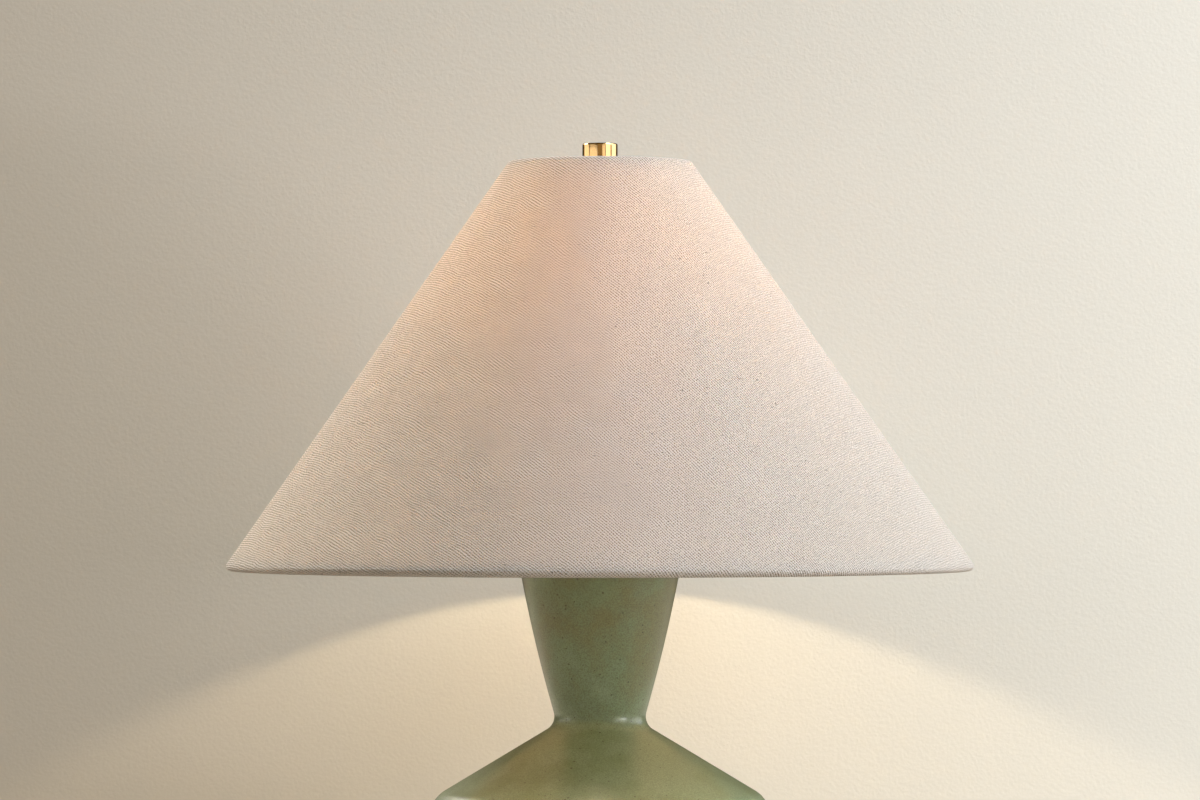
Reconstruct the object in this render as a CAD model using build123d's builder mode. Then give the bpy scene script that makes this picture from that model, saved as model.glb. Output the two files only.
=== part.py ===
from build123d import *
import os
from math import atan2, degrees, hypot, sqrt

# Amphora table lamp: a hollow glazed body on a felt pad, clamped by a threaded rod,
# with a lampholder, a harp and a wide conical shade that a brass finial holds down.
# Millimetres, +Z up, front towards -Y, origin at the centre of the felt's underside.

# Fits, each the gap left on one side
running_fit = 0.05
assembly_gap = 0.3
slip_gap = 0.15
hole_gap = 0.3

# Felt pad and ceramic body
felt_thickness = 2.0
felt_inset = 2.5
foot_radius = 66.0
foot_rounding = 2.5
foot_wall = 8.0
lower_height = 210.4
lower_bulge = 7.0
shoulder_radius = 118.0
shoulder_rounding = 22.0
shoulder_rise = 53.3
waist_radius = 29.36
waist_rounding = 10.4
neck_height = 118.3
neck_bulge = 1.7
mouth_radius = 57.0
mouth_rounding = 5.0
body_wall = 6.5
recess_depth = 24.0
shelf_thickness = 6.0
rod_hole_gap = 1.0

# Cord bushing at the back of the foot
inlet_height = 10.5
bushing_bore_radius = 4.0
bushing_wall = 1.5
bushing_flange_radius = 7.5
bushing_flange_thickness = 2.0
bushing_flange_rounding = 0.6
bushing_reach = 1.2
spot_face_margin = 0.75

# Threaded rod and what it clamps
rod_radius = 5.0
rod_bore_radius = 3.3
rod_end_below_nut = 1.5
plate_thickness = 2.0
plate_inset = 8.0
plate_bearing = 10.0
washer_radius = 11.0
washer_thickness = 1.0
nut_across_flats = 14.3
nut_height = 4.5
nut_chamfer = 0.6
gasket_radius = 21.5
gasket_thickness = 1.5
vase_cap_radius = 24.0
vase_cap_thickness = 2.5
vase_cap_rounding = 2.0
check_ring_radius = 9.5
check_ring_height = 3.6
check_ring_notches = 18
check_ring_notch_radius = 0.8

# Harp saddle, harp and ferrules
saddle_thickness = 1.6
saddle_width = 14.0
saddle_end_width = 6.0
saddle_waist = 14.0
ear_width = 3.2
ear_height = 14.0
ear_gap = 0.1
harp_wire_radius = 1.9
harp_leg_spacing = 54.0
harp_height = 241.3
harp_end_gap = 1.0
harp_leg_height = 48.8
harp_flare_height = 48.0
harp_half_width = 57.0
harp_crown_height = 58.5
harp_crown_half_width = 16.0
harp_leg_bend = 40.0
harp_flare_bend = 55.0
harp_shoulder_bend = 60.0
harp_crown_bend = 14.0
ferrule_wall = 1.1
ferrule_length = 13.0
ferrule_rest_gap = 0.2
ferrule_bead = 0.5
ferrule_bead_height = 1.6
hub_radius = 6.0
hub_height = 9.0
hub_rounding = 0.8
swivel_pin_radius = 2.5
swivel_pin_depth = 1.9
swivel_floor = 0.65
stud_radius = 3.175
stud_length = 15.0
stud_flange_radius = 6.0
stud_flange_thickness = 2.6
stud_chamfer = 0.6

# Shade: rolled cover, liner, rings and spider
shade_top_radius = 63.5
shade_bottom_radius = 254.0
shade_height = 278.4
shade_drop = 12.3
cover_thickness = 1.0
liner_thickness = 0.8
lamination_gap = 0.1
ring_wire_radius = 2.0
spider_wire_radius = 1.6
spider_arms = 3
spider_first_angle = 90.0
spider_flat_reach = 49.0
spider_bend = 10.0
spider_washer_radius = 11.0
spider_washer_thickness = 1.5
spider_washer_hole_gap = 0.325
spider_weld_overlap = 2.0

# Finial
finial_radius = 12.0
finial_height = 24.4
finial_chamfer = 0.8
finial_bore_spare = 1.0

# Lampholder
socket_hub_radius = 7.5
socket_hub_height = 4.0
socket_cap_radius = 17.0
socket_cap_wall = 0.85
socket_dome_height = 4.4
socket_dome_rounding = 1.5
socket_cap_skirt = 8.6
socket_shell_wall = 0.8
socket_shell_height = 46.0
socket_shell_bead = 0.7
socket_shell_bead_height = 1.4
socket_liner_wall = 0.8
socket_liner_gap = 0.2
socket_liner_inset = 1.0
core_height = 23.5
core_base_height = 13.4
screw_shell_wall = 0.5
screw_shell_height = 19.7
screw_shell_floor_hole = 6.0
contact_width = 5.0
contact_length = 9.0
contact_leaf = 0.4
contact_pad_length = 2.25
contact_rise = 1.5
terminal_flat_depth = 3.4
terminal_flat_width = 10.0
terminal_flat_height = 9.0
terminal_head_radius = 3.0
terminal_head_height = 1.9
terminal_shank_radius = 1.5
terminal_shank_length = 4.0

# Turn switch
switch_shaft_radius = 2.5
switch_inner_reach = 3.0
switch_slot_gap = 1.0
rotor_radius = 5.6
rotor_length = 6.0
rotor_notches = 4
rotor_notch_radius = 1.6
knob_radius = 6.5
knob_length = 12.0
knob_standoff = 3.5
knob_rounding = 1.2
knob_cover = 2.0
knob_flutes = 12
knob_flute_radius = 0.9

# Bulb
bulb_length = 110.0
globe_radius = 30.0
globe_wall = 1.2
globe_cut = 14.0
bulb_cap_radius = 13.1
bulb_cap_wall = 0.5
bulb_cap_height = 20.8
bulb_cap_shoulder = 2.8
bulb_thread_gap = 0.3
bulb_tip_radius = 4.6
bulb_tip_height = 1.2
bulb_tip_rounding = 0.5
insulator_height = 3.0
insulator_top_radius = 10.5
housing_lip = 0.5
housing_bulge = 1.4
board_inset = 1.7
board_thickness = 1.6
led_count = 10
led_ring_radius = 14.0
led_size = 2.8
led_height = 0.7

# Heights worked out from the stack, from the felt up
foot_z = felt_thickness
shoulder_z = foot_z + lower_height
waist_z = shoulder_z + shoulder_rise
mouth_z = waist_z + neck_height
shelf_z = foot_z + recess_depth
cavity_floor_z = shelf_z + shelf_thickness
plate_z = shelf_z - plate_thickness
washer_z = plate_z - washer_thickness
nut_z = washer_z - nut_height
rod_bottom_z = nut_z - rod_end_below_nut
vase_cap_z = mouth_z + gasket_thickness
check_ring_z = vase_cap_z + vase_cap_thickness
saddle_z = check_ring_z + check_ring_height
saddle_top_z = saddle_z + saddle_thickness
seat_z = saddle_top_z + harp_height
hub_top_z = seat_z - stud_flange_thickness
harp_top_z = hub_top_z - swivel_pin_depth - swivel_floor - harp_wire_radius - running_fit
shade_washer_top_z = seat_z + spider_washer_thickness
shade_top_z = shade_washer_top_z + shade_drop
shade_bottom_z = shade_top_z - shade_height

# Radii of holes that take the rod
rod_clear_radius = rod_radius + hole_gap
rod_thread_radius = rod_radius + running_fit

# Ceramic body: the half outline has a bowed lower wall, a flat shoulder cone, a tight
# waist and a neck that opens upwards, and its inside is the same outline set in by a wall
foot_corner = (foot_radius, foot_z)
shoulder_corner = (shoulder_radius, shoulder_z)
waist_corner = (waist_radius, waist_z)
mouth_corner = (mouth_radius, mouth_z)
body_corners = (
    (foot_corner, foot_rounding),
    (shoulder_corner, shoulder_rounding),
    (waist_corner, waist_rounding),
    (mouth_corner, mouth_rounding),
)
with BuildSketch(Plane.XZ) as body_outline:
    with BuildLine():
        Line((0, foot_z), foot_corner)
        SagittaArc(foot_corner, shoulder_corner, -lower_bulge)
        Line(shoulder_corner, waist_corner)
        SagittaArc(waist_corner, mouth_corner, -neck_bulge)
        Line(mouth_corner, (0, mouth_z))
        mirror(about=Plane.YZ)
    make_face()
    for (corner_x, corner_z), rounding in body_corners:
        for side in (-1, 1):
            corner = body_outline.vertices().sort_by_distance((side * corner_x, corner_z))[0]
            fillet(corner, radius=rounding)

recess_radius = foot_radius - foot_wall
recess_flare = degrees(atan2(shoulder_radius - foot_radius, lower_height))
plate_radius = recess_radius - plate_inset
shelf_opening_radius = plate_radius - plate_bearing
bushing_radius = bushing_bore_radius + bushing_wall
bushing_length = foot_wall + bushing_reach
inlet_plane = Plane(
    origin=(0, foot_radius, foot_z + inlet_height), x_dir=(-1, 0, 0), z_dir=(0, 1, 0)
)

with BuildPart() as ceramic_body:
    with BuildSketch(Plane.XZ):
        add(body_outline.sketch_local)
        split(bisect_by=Plane.YZ)
    revolve(axis=Axis.Z)
    with BuildSketch(Plane.XZ):
        add(body_outline.sketch_local)
        offset(amount=-body_wall, mode=Mode.REPLACE)
        split(bisect_by=Plane.YZ)
        split(bisect_by=Plane.ZX.offset(cavity_floor_z))
    revolve(axis=Axis.Z, mode=Mode.SUBTRACT)
    with BuildSketch(Plane.XY.offset(foot_z)):
        Circle(recess_radius)
    extrude(amount=recess_depth, taper=-recess_flare, mode=Mode.SUBTRACT)
    with BuildSketch(Plane.XY.offset(shelf_z)):
        Circle(shelf_opening_radius)
    extrude(amount=shelf_thickness, mode=Mode.SUBTRACT)
    with Locations((0, 0, mouth_z)):
        Hole(rod_radius + rod_hole_gap, depth=body_wall)
    # Spot face and hole for the cord bushing
    with BuildSketch(inlet_plane):
        Circle(bushing_flange_radius + spot_face_margin)
    extrude(amount=shoulder_radius - foot_radius, mode=Mode.SUBTRACT)
    with BuildSketch(inlet_plane):
        Circle(bushing_radius + hole_gap)
    extrude(amount=-bushing_length, mode=Mode.SUBTRACT)

with BuildPart() as felt_pad:
    with BuildSketch():
        Circle(foot_radius - felt_inset)
    extrude(amount=felt_thickness)

# Cord bushing: a flange on the spot face and a sleeve through the wall
with BuildPart() as cord_bushing:
    with BuildSketch(inlet_plane):
        Circle(bushing_flange_radius)
    extrude(amount=bushing_flange_thickness)
    fillet(cord_bushing.edges().group_by(Axis.Y)[-1], radius=bushing_flange_rounding)
    with BuildSketch(inlet_plane):
        Circle(bushing_radius)
    extrude(amount=-bushing_length)
    with BuildSketch(inlet_plane):
        Circle(bushing_bore_radius)
    extrude(amount=bushing_flange_thickness, mode=Mode.SUBTRACT)
    with BuildSketch(inlet_plane):
        Circle(bushing_bore_radius)
    extrude(amount=-bushing_length, mode=Mode.SUBTRACT)

# Clamp under the body: plate, washer and nut against the shelf in the foot
with BuildPart() as base_plate:
    with BuildSketch(Plane.XY.offset(plate_z)):
        Circle(plate_radius)
        Circle(rod_clear_radius, mode=Mode.SUBTRACT)
    extrude(amount=plate_thickness)

with BuildPart() as base_washer:
    with BuildSketch(Plane.XY.offset(washer_z)):
        Circle(washer_radius)
        Circle(rod_clear_radius, mode=Mode.SUBTRACT)
    extrude(amount=washer_thickness)

with BuildPart() as base_nut:
    with BuildSketch(Plane.XY.offset(nut_z)):
        RegularPolygon(nut_across_flats / 2, side_count=6, major_radius=False)
    extrude(amount=nut_height)
    chamfer(base_nut.faces().sort_by(Axis.Z)[0].edges(), length=nut_chamfer)
    with BuildSketch(Plane.XY.offset(nut_z)):
        Circle(rod_thread_radius)
    extrude(amount=nut_height, mode=Mode.SUBTRACT)

with BuildPart() as lamp_rod:
    with BuildSketch(Plane.XY.offset(rod_bottom_z)):
        Circle(rod_radius)
        Circle(rod_bore_radius, mode=Mode.SUBTRACT)
    extrude(amount=saddle_top_z + socket_hub_height - rod_bottom_z)

# Clamp on top of the body: gasket, brass cap with a lip round the gasket, check ring
with BuildPart() as cap_gasket:
    with BuildSketch(Plane.XY.offset(mouth_z)):
        Circle(gasket_radius)
        Circle(rod_clear_radius, mode=Mode.SUBTRACT)
    extrude(amount=gasket_thickness)

with BuildPart() as vase_cap:
    with BuildSketch(Plane.XY.offset(mouth_z + assembly_gap)):
        Circle(vase_cap_radius)
    extrude(amount=gasket_thickness + vase_cap_thickness - assembly_gap)
    fillet(vase_cap.edges().group_by(Axis.Z)[-1], radius=vase_cap_rounding)
    with BuildSketch(Plane.XY.offset(mouth_z)):
        Circle(gasket_radius + assembly_gap)
    extrude(amount=gasket_thickness, mode=Mode.SUBTRACT)
    with BuildSketch(Plane.XY.offset(mouth_z)):
        Circle(rod_clear_radius)
    extrude(amount=gasket_thickness + vase_cap_thickness, mode=Mode.SUBTRACT)

with BuildPart() as check_ring:
    with BuildSketch(Plane.XY.offset(check_ring_z)):
        Circle(check_ring_radius)
        Circle(rod_thread_radius, mode=Mode.SUBTRACT)
        with PolarLocations(check_ring_radius, check_ring_notches):
            Circle(check_ring_notch_radius, mode=Mode.SUBTRACT)
    extrude(amount=check_ring_height)

# Harp saddle: a strip under the lampholder whose narrow ends turn up into two ears
harp_leg_x = harp_leg_spacing / 2
ear_inner_x = harp_leg_x + harp_wire_radius + ear_gap
ear_outer_x = ear_inner_x + saddle_thickness
with BuildPart() as harp_saddle:
    with BuildSketch(Plane.XY.offset(saddle_z)):
        with BuildLine():
            Polyline(
                (0, saddle_width / 2),
                (saddle_waist, saddle_width / 2),
                (ear_outer_x, saddle_end_width / 2),
                (ear_outer_x, -saddle_end_width / 2),
                (saddle_waist, -saddle_width / 2),
                (0, -saddle_width / 2),
            )
            mirror(about=Plane.YZ)
        make_face()
        Circle(rod_clear_radius, mode=Mode.SUBTRACT)
    extrude(amount=saddle_thickness)
    with BuildSketch(Plane.XY.offset(saddle_top_z)):
        with Locations((ear_inner_x, 0)):
            Rectangle(saddle_thickness, ear_width, align=(Align.MIN, Align.CENTER))
        mirror(about=Plane.YZ)
    extrude(amount=ear_height)
    ear_tips = harp_saddle.edges().group_by(Axis.Z)[-1].filter_by(Axis.X)
    fillet(ear_tips, radius=ear_width / 3)

# Harp: one wire bowed round the bulb, from one ear up over the crown and down again
harp_end_z = saddle_top_z + harp_end_gap
harp_flare_z = saddle_top_z + harp_leg_height
with BuildPart() as harp_wire:
    with BuildLine(Plane.XZ) as harp_path:
        FilletPolyline(
            (0, harp_top_z),
            (harp_crown_half_width, harp_top_z),
            (harp_half_width, harp_top_z - harp_crown_height),
            (harp_half_width, harp_flare_z + harp_flare_height),
            (harp_leg_x, harp_flare_z),
            (harp_leg_x, harp_end_z),
            radius=(harp_crown_bend, harp_shoulder_bend, harp_flare_bend, harp_leg_bend),
        )
        mirror(about=Plane.YZ)
    harp_curve = harp_path.wire()
    with BuildSketch(Plane(origin=harp_curve @ 0, z_dir=harp_curve % 0)):
        Circle(harp_wire_radius)
    sweep(path=harp_curve)

# Ferrules: a short tube on each leg that drops over the saddle's ear and locks the harp
ferrule_x = (harp_leg_x - harp_wire_radius + ear_outer_x) / 2
ear_corner_reach = hypot(ear_outer_x - ferrule_x, ear_width / 2)
ferrule_bore_radius = ear_corner_reach + hole_gap
ferrule_z = saddle_top_z + ferrule_rest_gap


def make_ferrule(centre_x):
    """A ferrule with a rounded bead at its upper end, standing at centre_x."""
    with BuildPart() as ferrule:
        with BuildSketch(Plane((centre_x, 0, ferrule_z))):
            Circle(ferrule_bore_radius + ferrule_wall)
        extrude(amount=ferrule_length)
        bead_z = ferrule_z + ferrule_length - ferrule_bead_height
        with BuildSketch(Plane((centre_x, 0, bead_z))):
            Circle(ferrule_bore_radius + ferrule_wall + ferrule_bead)
        extrude(amount=ferrule_bead_height)
        bead_edges = ferrule.edges().filter_by(GeomType.CIRCLE).sort_by(SortBy.RADIUS)[-2:]
        fillet(bead_edges, radius=ferrule_bead / 2)
        with BuildSketch(Plane((centre_x, 0, ferrule_z))):
            Circle(ferrule_bore_radius)
        extrude(amount=ferrule_length, mode=Mode.SUBTRACT)
    return ferrule


ferrule_left = make_ferrule(-ferrule_x)
ferrule_right = make_ferrule(ferrule_x)

# Hub on the crown of the harp, bored for the wire and for the stud's swivel pin
with BuildPart() as harp_hub:
    with BuildSketch(Plane.XY.offset(hub_top_z)):
        Circle(hub_radius)
    extrude(amount=-hub_height)
    fillet(harp_hub.edges().group_by(Axis.Z)[0], radius=hub_rounding)
    with BuildSketch(Plane.XY.offset(hub_top_z)):
        Circle(swivel_pin_radius + running_fit)
    extrude(amount=-swivel_pin_depth, mode=Mode.SUBTRACT)
    with BuildSketch(Plane.YZ):
        with Locations((0, harp_top_z)):
            Circle(harp_wire_radius + running_fit)
    extrude(amount=hub_radius, both=True, mode=Mode.SUBTRACT)

with BuildPart() as harp_stud:
    with BuildSketch(Plane.XY.offset(hub_top_z)):
        Circle(swivel_pin_radius)
    extrude(amount=-(swivel_pin_depth - slip_gap))
    with BuildSketch(Plane.XY.offset(hub_top_z)):
        Circle(stud_flange_radius)
    extrude(amount=stud_flange_thickness)
    with BuildSketch(Plane.XY.offset(seat_z)):
        Circle(stud_radius)
    extrude(amount=stud_length)
    chamfer(harp_stud.edges().group_by(Axis.Z)[-1], length=stud_chamfer)

# Shade section: the cover is tangent to a roll at each rim, and each roll holds a ring
ring_hole_radius = ring_wire_radius + slip_gap
roll_radius = ring_hole_radius + cover_thickness
top_ring = Vector(shade_top_radius - roll_radius, shade_top_z - roll_radius)
bottom_ring_centre = Vector(shade_bottom_radius - roll_radius, shade_bottom_z + roll_radius)
slant = (bottom_ring_centre - top_ring).normalized()
outward = Vector(-slant.Y, slant.X)
liner_outside = ring_hole_radius - lamination_gap
liner_inside = liner_outside - liner_thickness
liner_end = roll_radius + assembly_gap


def make_spider_arm(radius):
    """One arm of the spider in the XZ plane, from the washer to the top ring."""
    arm_z = shade_washer_top_z - assembly_gap - spider_wire_radius
    with BuildPart() as arm:
        with BuildLine(Plane.XZ) as arm_path:
            FilletPolyline(
                (spider_washer_radius - spider_weld_overlap, arm_z),
                (spider_flat_reach, arm_z),
                (top_ring.X, top_ring.Y),
                radius=spider_bend,
            )
        arm_curve = arm_path.wire()
        with BuildSketch(Plane(origin=arm_curve @ 0, z_dir=arm_curve % 0)):
            Circle(radius)
        sweep(path=arm_curve)
    return arm


spider_arm = make_spider_arm(spider_wire_radius)
arm_notch = make_spider_arm(spider_wire_radius + assembly_gap)

with BuildPart() as shade_cover:
    with BuildSketch(Plane.XZ):
        with BuildLine():
            Polyline(
                top_ring + outward * roll_radius,
                bottom_ring_centre + outward * roll_radius,
                bottom_ring_centre + outward * ring_hole_radius,
                top_ring + outward * ring_hole_radius,
                close=True,
            )
        make_face()
        with Locations(top_ring, bottom_ring_centre):
            Circle(roll_radius)
            Circle(ring_hole_radius, mode=Mode.SUBTRACT)
    revolve(axis=Axis.Z)
    with PolarLocations(0, spider_arms, start_angle=spider_first_angle):
        add(arm_notch.part, mode=Mode.SUBTRACT)

with BuildPart() as shade_liner:
    with BuildSketch(Plane.XZ):
        with BuildLine():
            Polyline(
                top_ring + slant * liner_end + outward * liner_outside,
                bottom_ring_centre - slant * liner_end + outward * liner_outside,
                bottom_ring_centre - slant * liner_end + outward * liner_inside,
                top_ring + slant * liner_end + outward * liner_inside,
                close=True,
            )
        make_face()
    revolve(axis=Axis.Z)

with BuildPart() as bottom_ring:
    with BuildSketch(Plane.XZ):
        with Locations(bottom_ring_centre):
            Circle(ring_wire_radius)
    revolve(axis=Axis.Z)

# Spider frame: top ring, three arms and the washer that sits on the stud, welded in one
with BuildPart() as spider_frame:
    with BuildSketch(Plane.XY.offset(seat_z)):
        Circle(spider_washer_radius)
    extrude(amount=spider_washer_thickness)
    with PolarLocations(0, spider_arms, start_angle=spider_first_angle):
        add(spider_arm.part)
    with BuildSketch(Plane.XZ):
        with Locations(top_ring):
            Circle(ring_wire_radius)
    revolve(axis=Axis.Z)
    with BuildSketch(Plane.XY.offset(seat_z)):
        Circle(stud_radius + spider_washer_hole_gap)
    extrude(amount=spider_washer_thickness, mode=Mode.SUBTRACT)

with BuildPart() as finial:
    with BuildSketch(Plane.XY.offset(shade_washer_top_z)):
        Circle(finial_radius)
    extrude(amount=finial_height)
    chamfer(finial.edges().filter_by(GeomType.CIRCLE), length=finial_chamfer)
    finial_bore_depth = stud_length - spider_washer_thickness + finial_bore_spare
    with BuildSketch(Plane.XY.offset(shade_washer_top_z)):
        Circle(stud_radius + running_fit)
    extrude(amount=finial_bore_depth, mode=Mode.SUBTRACT)

# Lampholder heights, from the saddle up
dome_z = saddle_top_z + socket_hub_height
skirt_z = dome_z + socket_dome_height
cap_top_z = skirt_z + socket_cap_skirt
shell_z = skirt_z + socket_cap_wall
shell_top_z = shell_z + socket_shell_height
core_z = shell_z
core_top_z = core_z + core_height
switch_z = core_z + core_base_height
screw_shell_floor_z = core_top_z + screw_shell_wall
bulb_tip_z = core_top_z + contact_rise

# Lampholder radii, from the cap inwards to the bulb's screw
cap_inner_radius = socket_cap_radius - socket_cap_wall
shell_radius = cap_inner_radius - slip_gap
shell_inner_radius = shell_radius - socket_shell_wall
socket_liner_radius = shell_inner_radius - socket_liner_gap
liner_inner_radius = socket_liner_radius - socket_liner_wall
core_radius = liner_inner_radius - assembly_gap
screw_shell_radius = bulb_cap_radius + bulb_thread_gap + screw_shell_wall
switch_slot_width = 2 * (switch_shaft_radius + switch_slot_gap)

with BuildPart() as socket_cap:
    with BuildSketch(Plane.XZ):
        with BuildLine():
            Polyline(
                (0, saddle_top_z),
                (socket_hub_radius, saddle_top_z),
                (socket_hub_radius, dome_z),
                (socket_cap_radius, skirt_z),
                (socket_cap_radius, cap_top_z),
                (0, cap_top_z),
                close=True,
            )
        make_face()
    revolve(axis=Axis.Z)
    skirt_edge = socket_cap.edges().filter_by(GeomType.CIRCLE).filter_by_position(
        Axis.Z, skirt_z, skirt_z
    )
    fillet(skirt_edge, radius=socket_dome_rounding)
    with BuildSketch(Plane.XZ):
        with BuildLine():
            Polyline(
                (0, dome_z + socket_cap_wall),
                (socket_hub_radius, dome_z + socket_cap_wall),
                (cap_inner_radius, skirt_z + socket_cap_wall),
                (cap_inner_radius, cap_top_z),
                (0, cap_top_z),
                close=True,
            )
        make_face()
    revolve(axis=Axis.Z, mode=Mode.SUBTRACT)
    with BuildSketch(Plane.XY.offset(saddle_top_z)):
        Circle(rod_thread_radius)
    extrude(amount=socket_hub_height + socket_cap_wall, mode=Mode.SUBTRACT)


def cut_switch_slot(tube_bottom_z, reach):
    """The slot, open at the tube's lower end, that lets the switch shaft out at the front."""
    with BuildPart() as slot:
        with BuildSketch(Plane.XZ):
            with Locations((0, switch_z)):
                Circle(switch_slot_width / 2)
                slot_depth = switch_z - tube_bottom_z
                Rectangle(switch_slot_width, slot_depth, align=(Align.CENTER, Align.MAX))
        extrude(amount=reach)
    return slot.part


with BuildPart() as socket_shell:
    with BuildSketch(Plane.XY.offset(shell_z)):
        Circle(shell_radius)
    extrude(amount=socket_shell_height)
    with BuildSketch(Plane.XY.offset(shell_top_z - socket_shell_bead_height)):
        Circle(shell_radius + socket_shell_bead)
    extrude(amount=socket_shell_bead_height)
    bead_edges = socket_shell.edges().filter_by(GeomType.CIRCLE).sort_by(SortBy.RADIUS)[-2:]
    fillet(bead_edges, radius=socket_shell_bead / 2)
    with BuildSketch(Plane.XY.offset(shell_z)):
        Circle(shell_inner_radius)
    extrude(amount=socket_shell_height, mode=Mode.SUBTRACT)
    add(cut_switch_slot(shell_z, socket_cap_radius), mode=Mode.SUBTRACT)

with BuildPart() as socket_liner:
    with BuildSketch(Plane.XY.offset(shell_z)):
        Circle(socket_liner_radius)
        Circle(liner_inner_radius, mode=Mode.SUBTRACT)
    extrude(amount=socket_shell_height - socket_liner_inset)
    add(cut_switch_slot(shell_z, socket_cap_radius), mode=Mode.SUBTRACT)

# Rotor pocket and shaft bore, shared by both halves of the insulating core
rotor_back_y = -switch_inner_reach
rotor_front_y = rotor_back_y - rotor_length
with BuildPart() as switch_space:
    with BuildSketch(Plane.XZ.offset(-rotor_back_y - assembly_gap)):
        with Locations((0, switch_z)):
            Circle(rotor_radius + assembly_gap)
    extrude(amount=rotor_length + 2 * assembly_gap)
    with BuildSketch(Plane.XZ.offset(-rotor_front_y)):
        with Locations((0, switch_z)):
            Circle(switch_shaft_radius + running_fit)
    extrude(amount=core_radius + rotor_front_y)

with BuildPart() as socket_core_base:
    with BuildSketch(Plane.XY.offset(core_z)):
        Circle(core_radius)
        Circle(rod_bore_radius, mode=Mode.SUBTRACT)
    extrude(amount=core_base_height)
    # Flats at both sides for the terminal screws
    with BuildSketch(Plane.XY.offset(core_z)):
        with Locations((core_radius - terminal_flat_depth, 0)):
            flat_reach = terminal_flat_depth + core_radius
            Rectangle(flat_reach, terminal_flat_width, align=(Align.MIN, Align.CENTER))
        mirror(about=Plane.YZ)
    extrude(amount=terminal_flat_height, mode=Mode.SUBTRACT)
    add(switch_space.part, mode=Mode.SUBTRACT)
    terminal_hole_z = core_z + terminal_flat_height / 2
    with BuildSketch(Plane.YZ):
        with Locations((0, terminal_hole_z)):
            Circle(terminal_shank_radius + running_fit)
    extrude(amount=core_radius, both=True, mode=Mode.SUBTRACT)

with BuildPart() as socket_core:
    with BuildSketch(Plane.XY.offset(switch_z)):
        Circle(core_radius)
    extrude(amount=core_top_z - switch_z)
    add(switch_space.part, mode=Mode.SUBTRACT)

with BuildPart() as terminal_screws:
    terminal_seat_x = core_radius - terminal_flat_depth
    with BuildSketch(Plane.YZ.offset(terminal_seat_x)):
        with Locations((0, terminal_hole_z)):
            Circle(terminal_head_radius)
    extrude(amount=terminal_head_height)
    with BuildSketch(Plane.YZ.offset(terminal_seat_x)):
        with Locations((0, terminal_hole_z)):
            Circle(terminal_shank_radius)
    extrude(amount=-terminal_shank_length)
    mirror(about=Plane.YZ)

with BuildPart() as screw_shell:
    with BuildSketch(Plane.XY.offset(core_top_z)):
        Circle(screw_shell_radius)
    extrude(amount=screw_shell_height)
    with BuildSketch(Plane.XY.offset(screw_shell_floor_z)):
        Circle(screw_shell_radius - screw_shell_wall)
    extrude(amount=screw_shell_height, mode=Mode.SUBTRACT)
    with BuildSketch(Plane.XY.offset(core_top_z)):
        Circle(screw_shell_floor_hole)
    extrude(amount=screw_shell_wall, mode=Mode.SUBTRACT)

# Centre contact: a sprung leaf that rises from the core to the bulb's tip
with BuildPart() as centre_contact:
    with BuildSketch(Plane.XZ):
        with BuildLine():
            Polyline(
                (-contact_length / 2, core_top_z),
                (contact_length / 2, core_top_z),
                (contact_length / 2, core_top_z + contact_leaf),
                (contact_leaf - contact_length / 2, core_top_z + contact_leaf),
                (0, bulb_tip_z - contact_leaf),
                (contact_pad_length, bulb_tip_z - contact_leaf),
                (contact_pad_length, bulb_tip_z),
                (-contact_leaf, bulb_tip_z),
                (-contact_length / 2, core_top_z + contact_leaf),
                close=True,
            )
        make_face()
    extrude(amount=contact_width / 2, both=True)

# Turn switch: rotor and shaft in the core, knob outside at the front
knob_back_y = -(shell_radius + knob_standoff)
knob_front_y = knob_back_y - knob_length
with BuildPart() as switch_rotor:
    with BuildSketch(Plane.XZ.offset(-rotor_back_y)):
        with Locations((0, switch_z)):
            Circle(rotor_radius)
            Circle(switch_shaft_radius + running_fit, mode=Mode.SUBTRACT)
            with PolarLocations(rotor_radius, rotor_notches):
                Circle(rotor_notch_radius, mode=Mode.SUBTRACT)
    extrude(amount=rotor_length)

with BuildPart() as switch_shaft:
    with BuildSketch(Plane.XZ.offset(-rotor_back_y)):
        with Locations((0, switch_z)):
            Circle(switch_shaft_radius)
    extrude(amount=rotor_back_y - knob_front_y - knob_cover)

with BuildPart() as switch_knob:
    with BuildSketch(Plane.XZ.offset(-knob_back_y)):
        with Locations((0, switch_z)):
            Circle(knob_radius)
            with PolarLocations(knob_radius, knob_flutes):
                Circle(knob_flute_radius, mode=Mode.SUBTRACT)
    extrude(amount=knob_length - knob_rounding)
    with BuildSketch(Plane.XZ.offset(-knob_back_y)):
        with Locations((0, switch_z)):
            Circle(knob_radius - knob_flute_radius)
    extrude(amount=knob_length)
    fillet(switch_knob.edges().group_by(Axis.Y)[0], radius=knob_rounding / 2)
    with BuildSketch(Plane.XZ.offset(-knob_back_y)):
        with Locations((0, switch_z)):
            Circle(switch_shaft_radius + running_fit)
    extrude(amount=knob_length - knob_cover, mode=Mode.SUBTRACT)

# Bulb, from its tip up
insulator_z = bulb_tip_z + bulb_tip_height
bulb_cap_z = insulator_z + insulator_height
bulb_cap_top_z = bulb_cap_z + bulb_cap_height
globe_z = bulb_tip_z + bulb_length - globe_radius
globe_cut_z = globe_z - globe_cut
housing_top_radius = sqrt(globe_radius**2 - globe_cut**2)
board_radius = housing_top_radius - globe_wall - board_inset
spigot_radius = bulb_cap_radius - bulb_cap_wall - slip_gap

with BuildPart() as bulb_tip:
    with BuildSketch(Plane.XY.offset(bulb_tip_z)):
        Circle(bulb_tip_radius)
    extrude(amount=bulb_tip_height)
    fillet(bulb_tip.edges().group_by(Axis.Z)[0], radius=bulb_tip_rounding)

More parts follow.
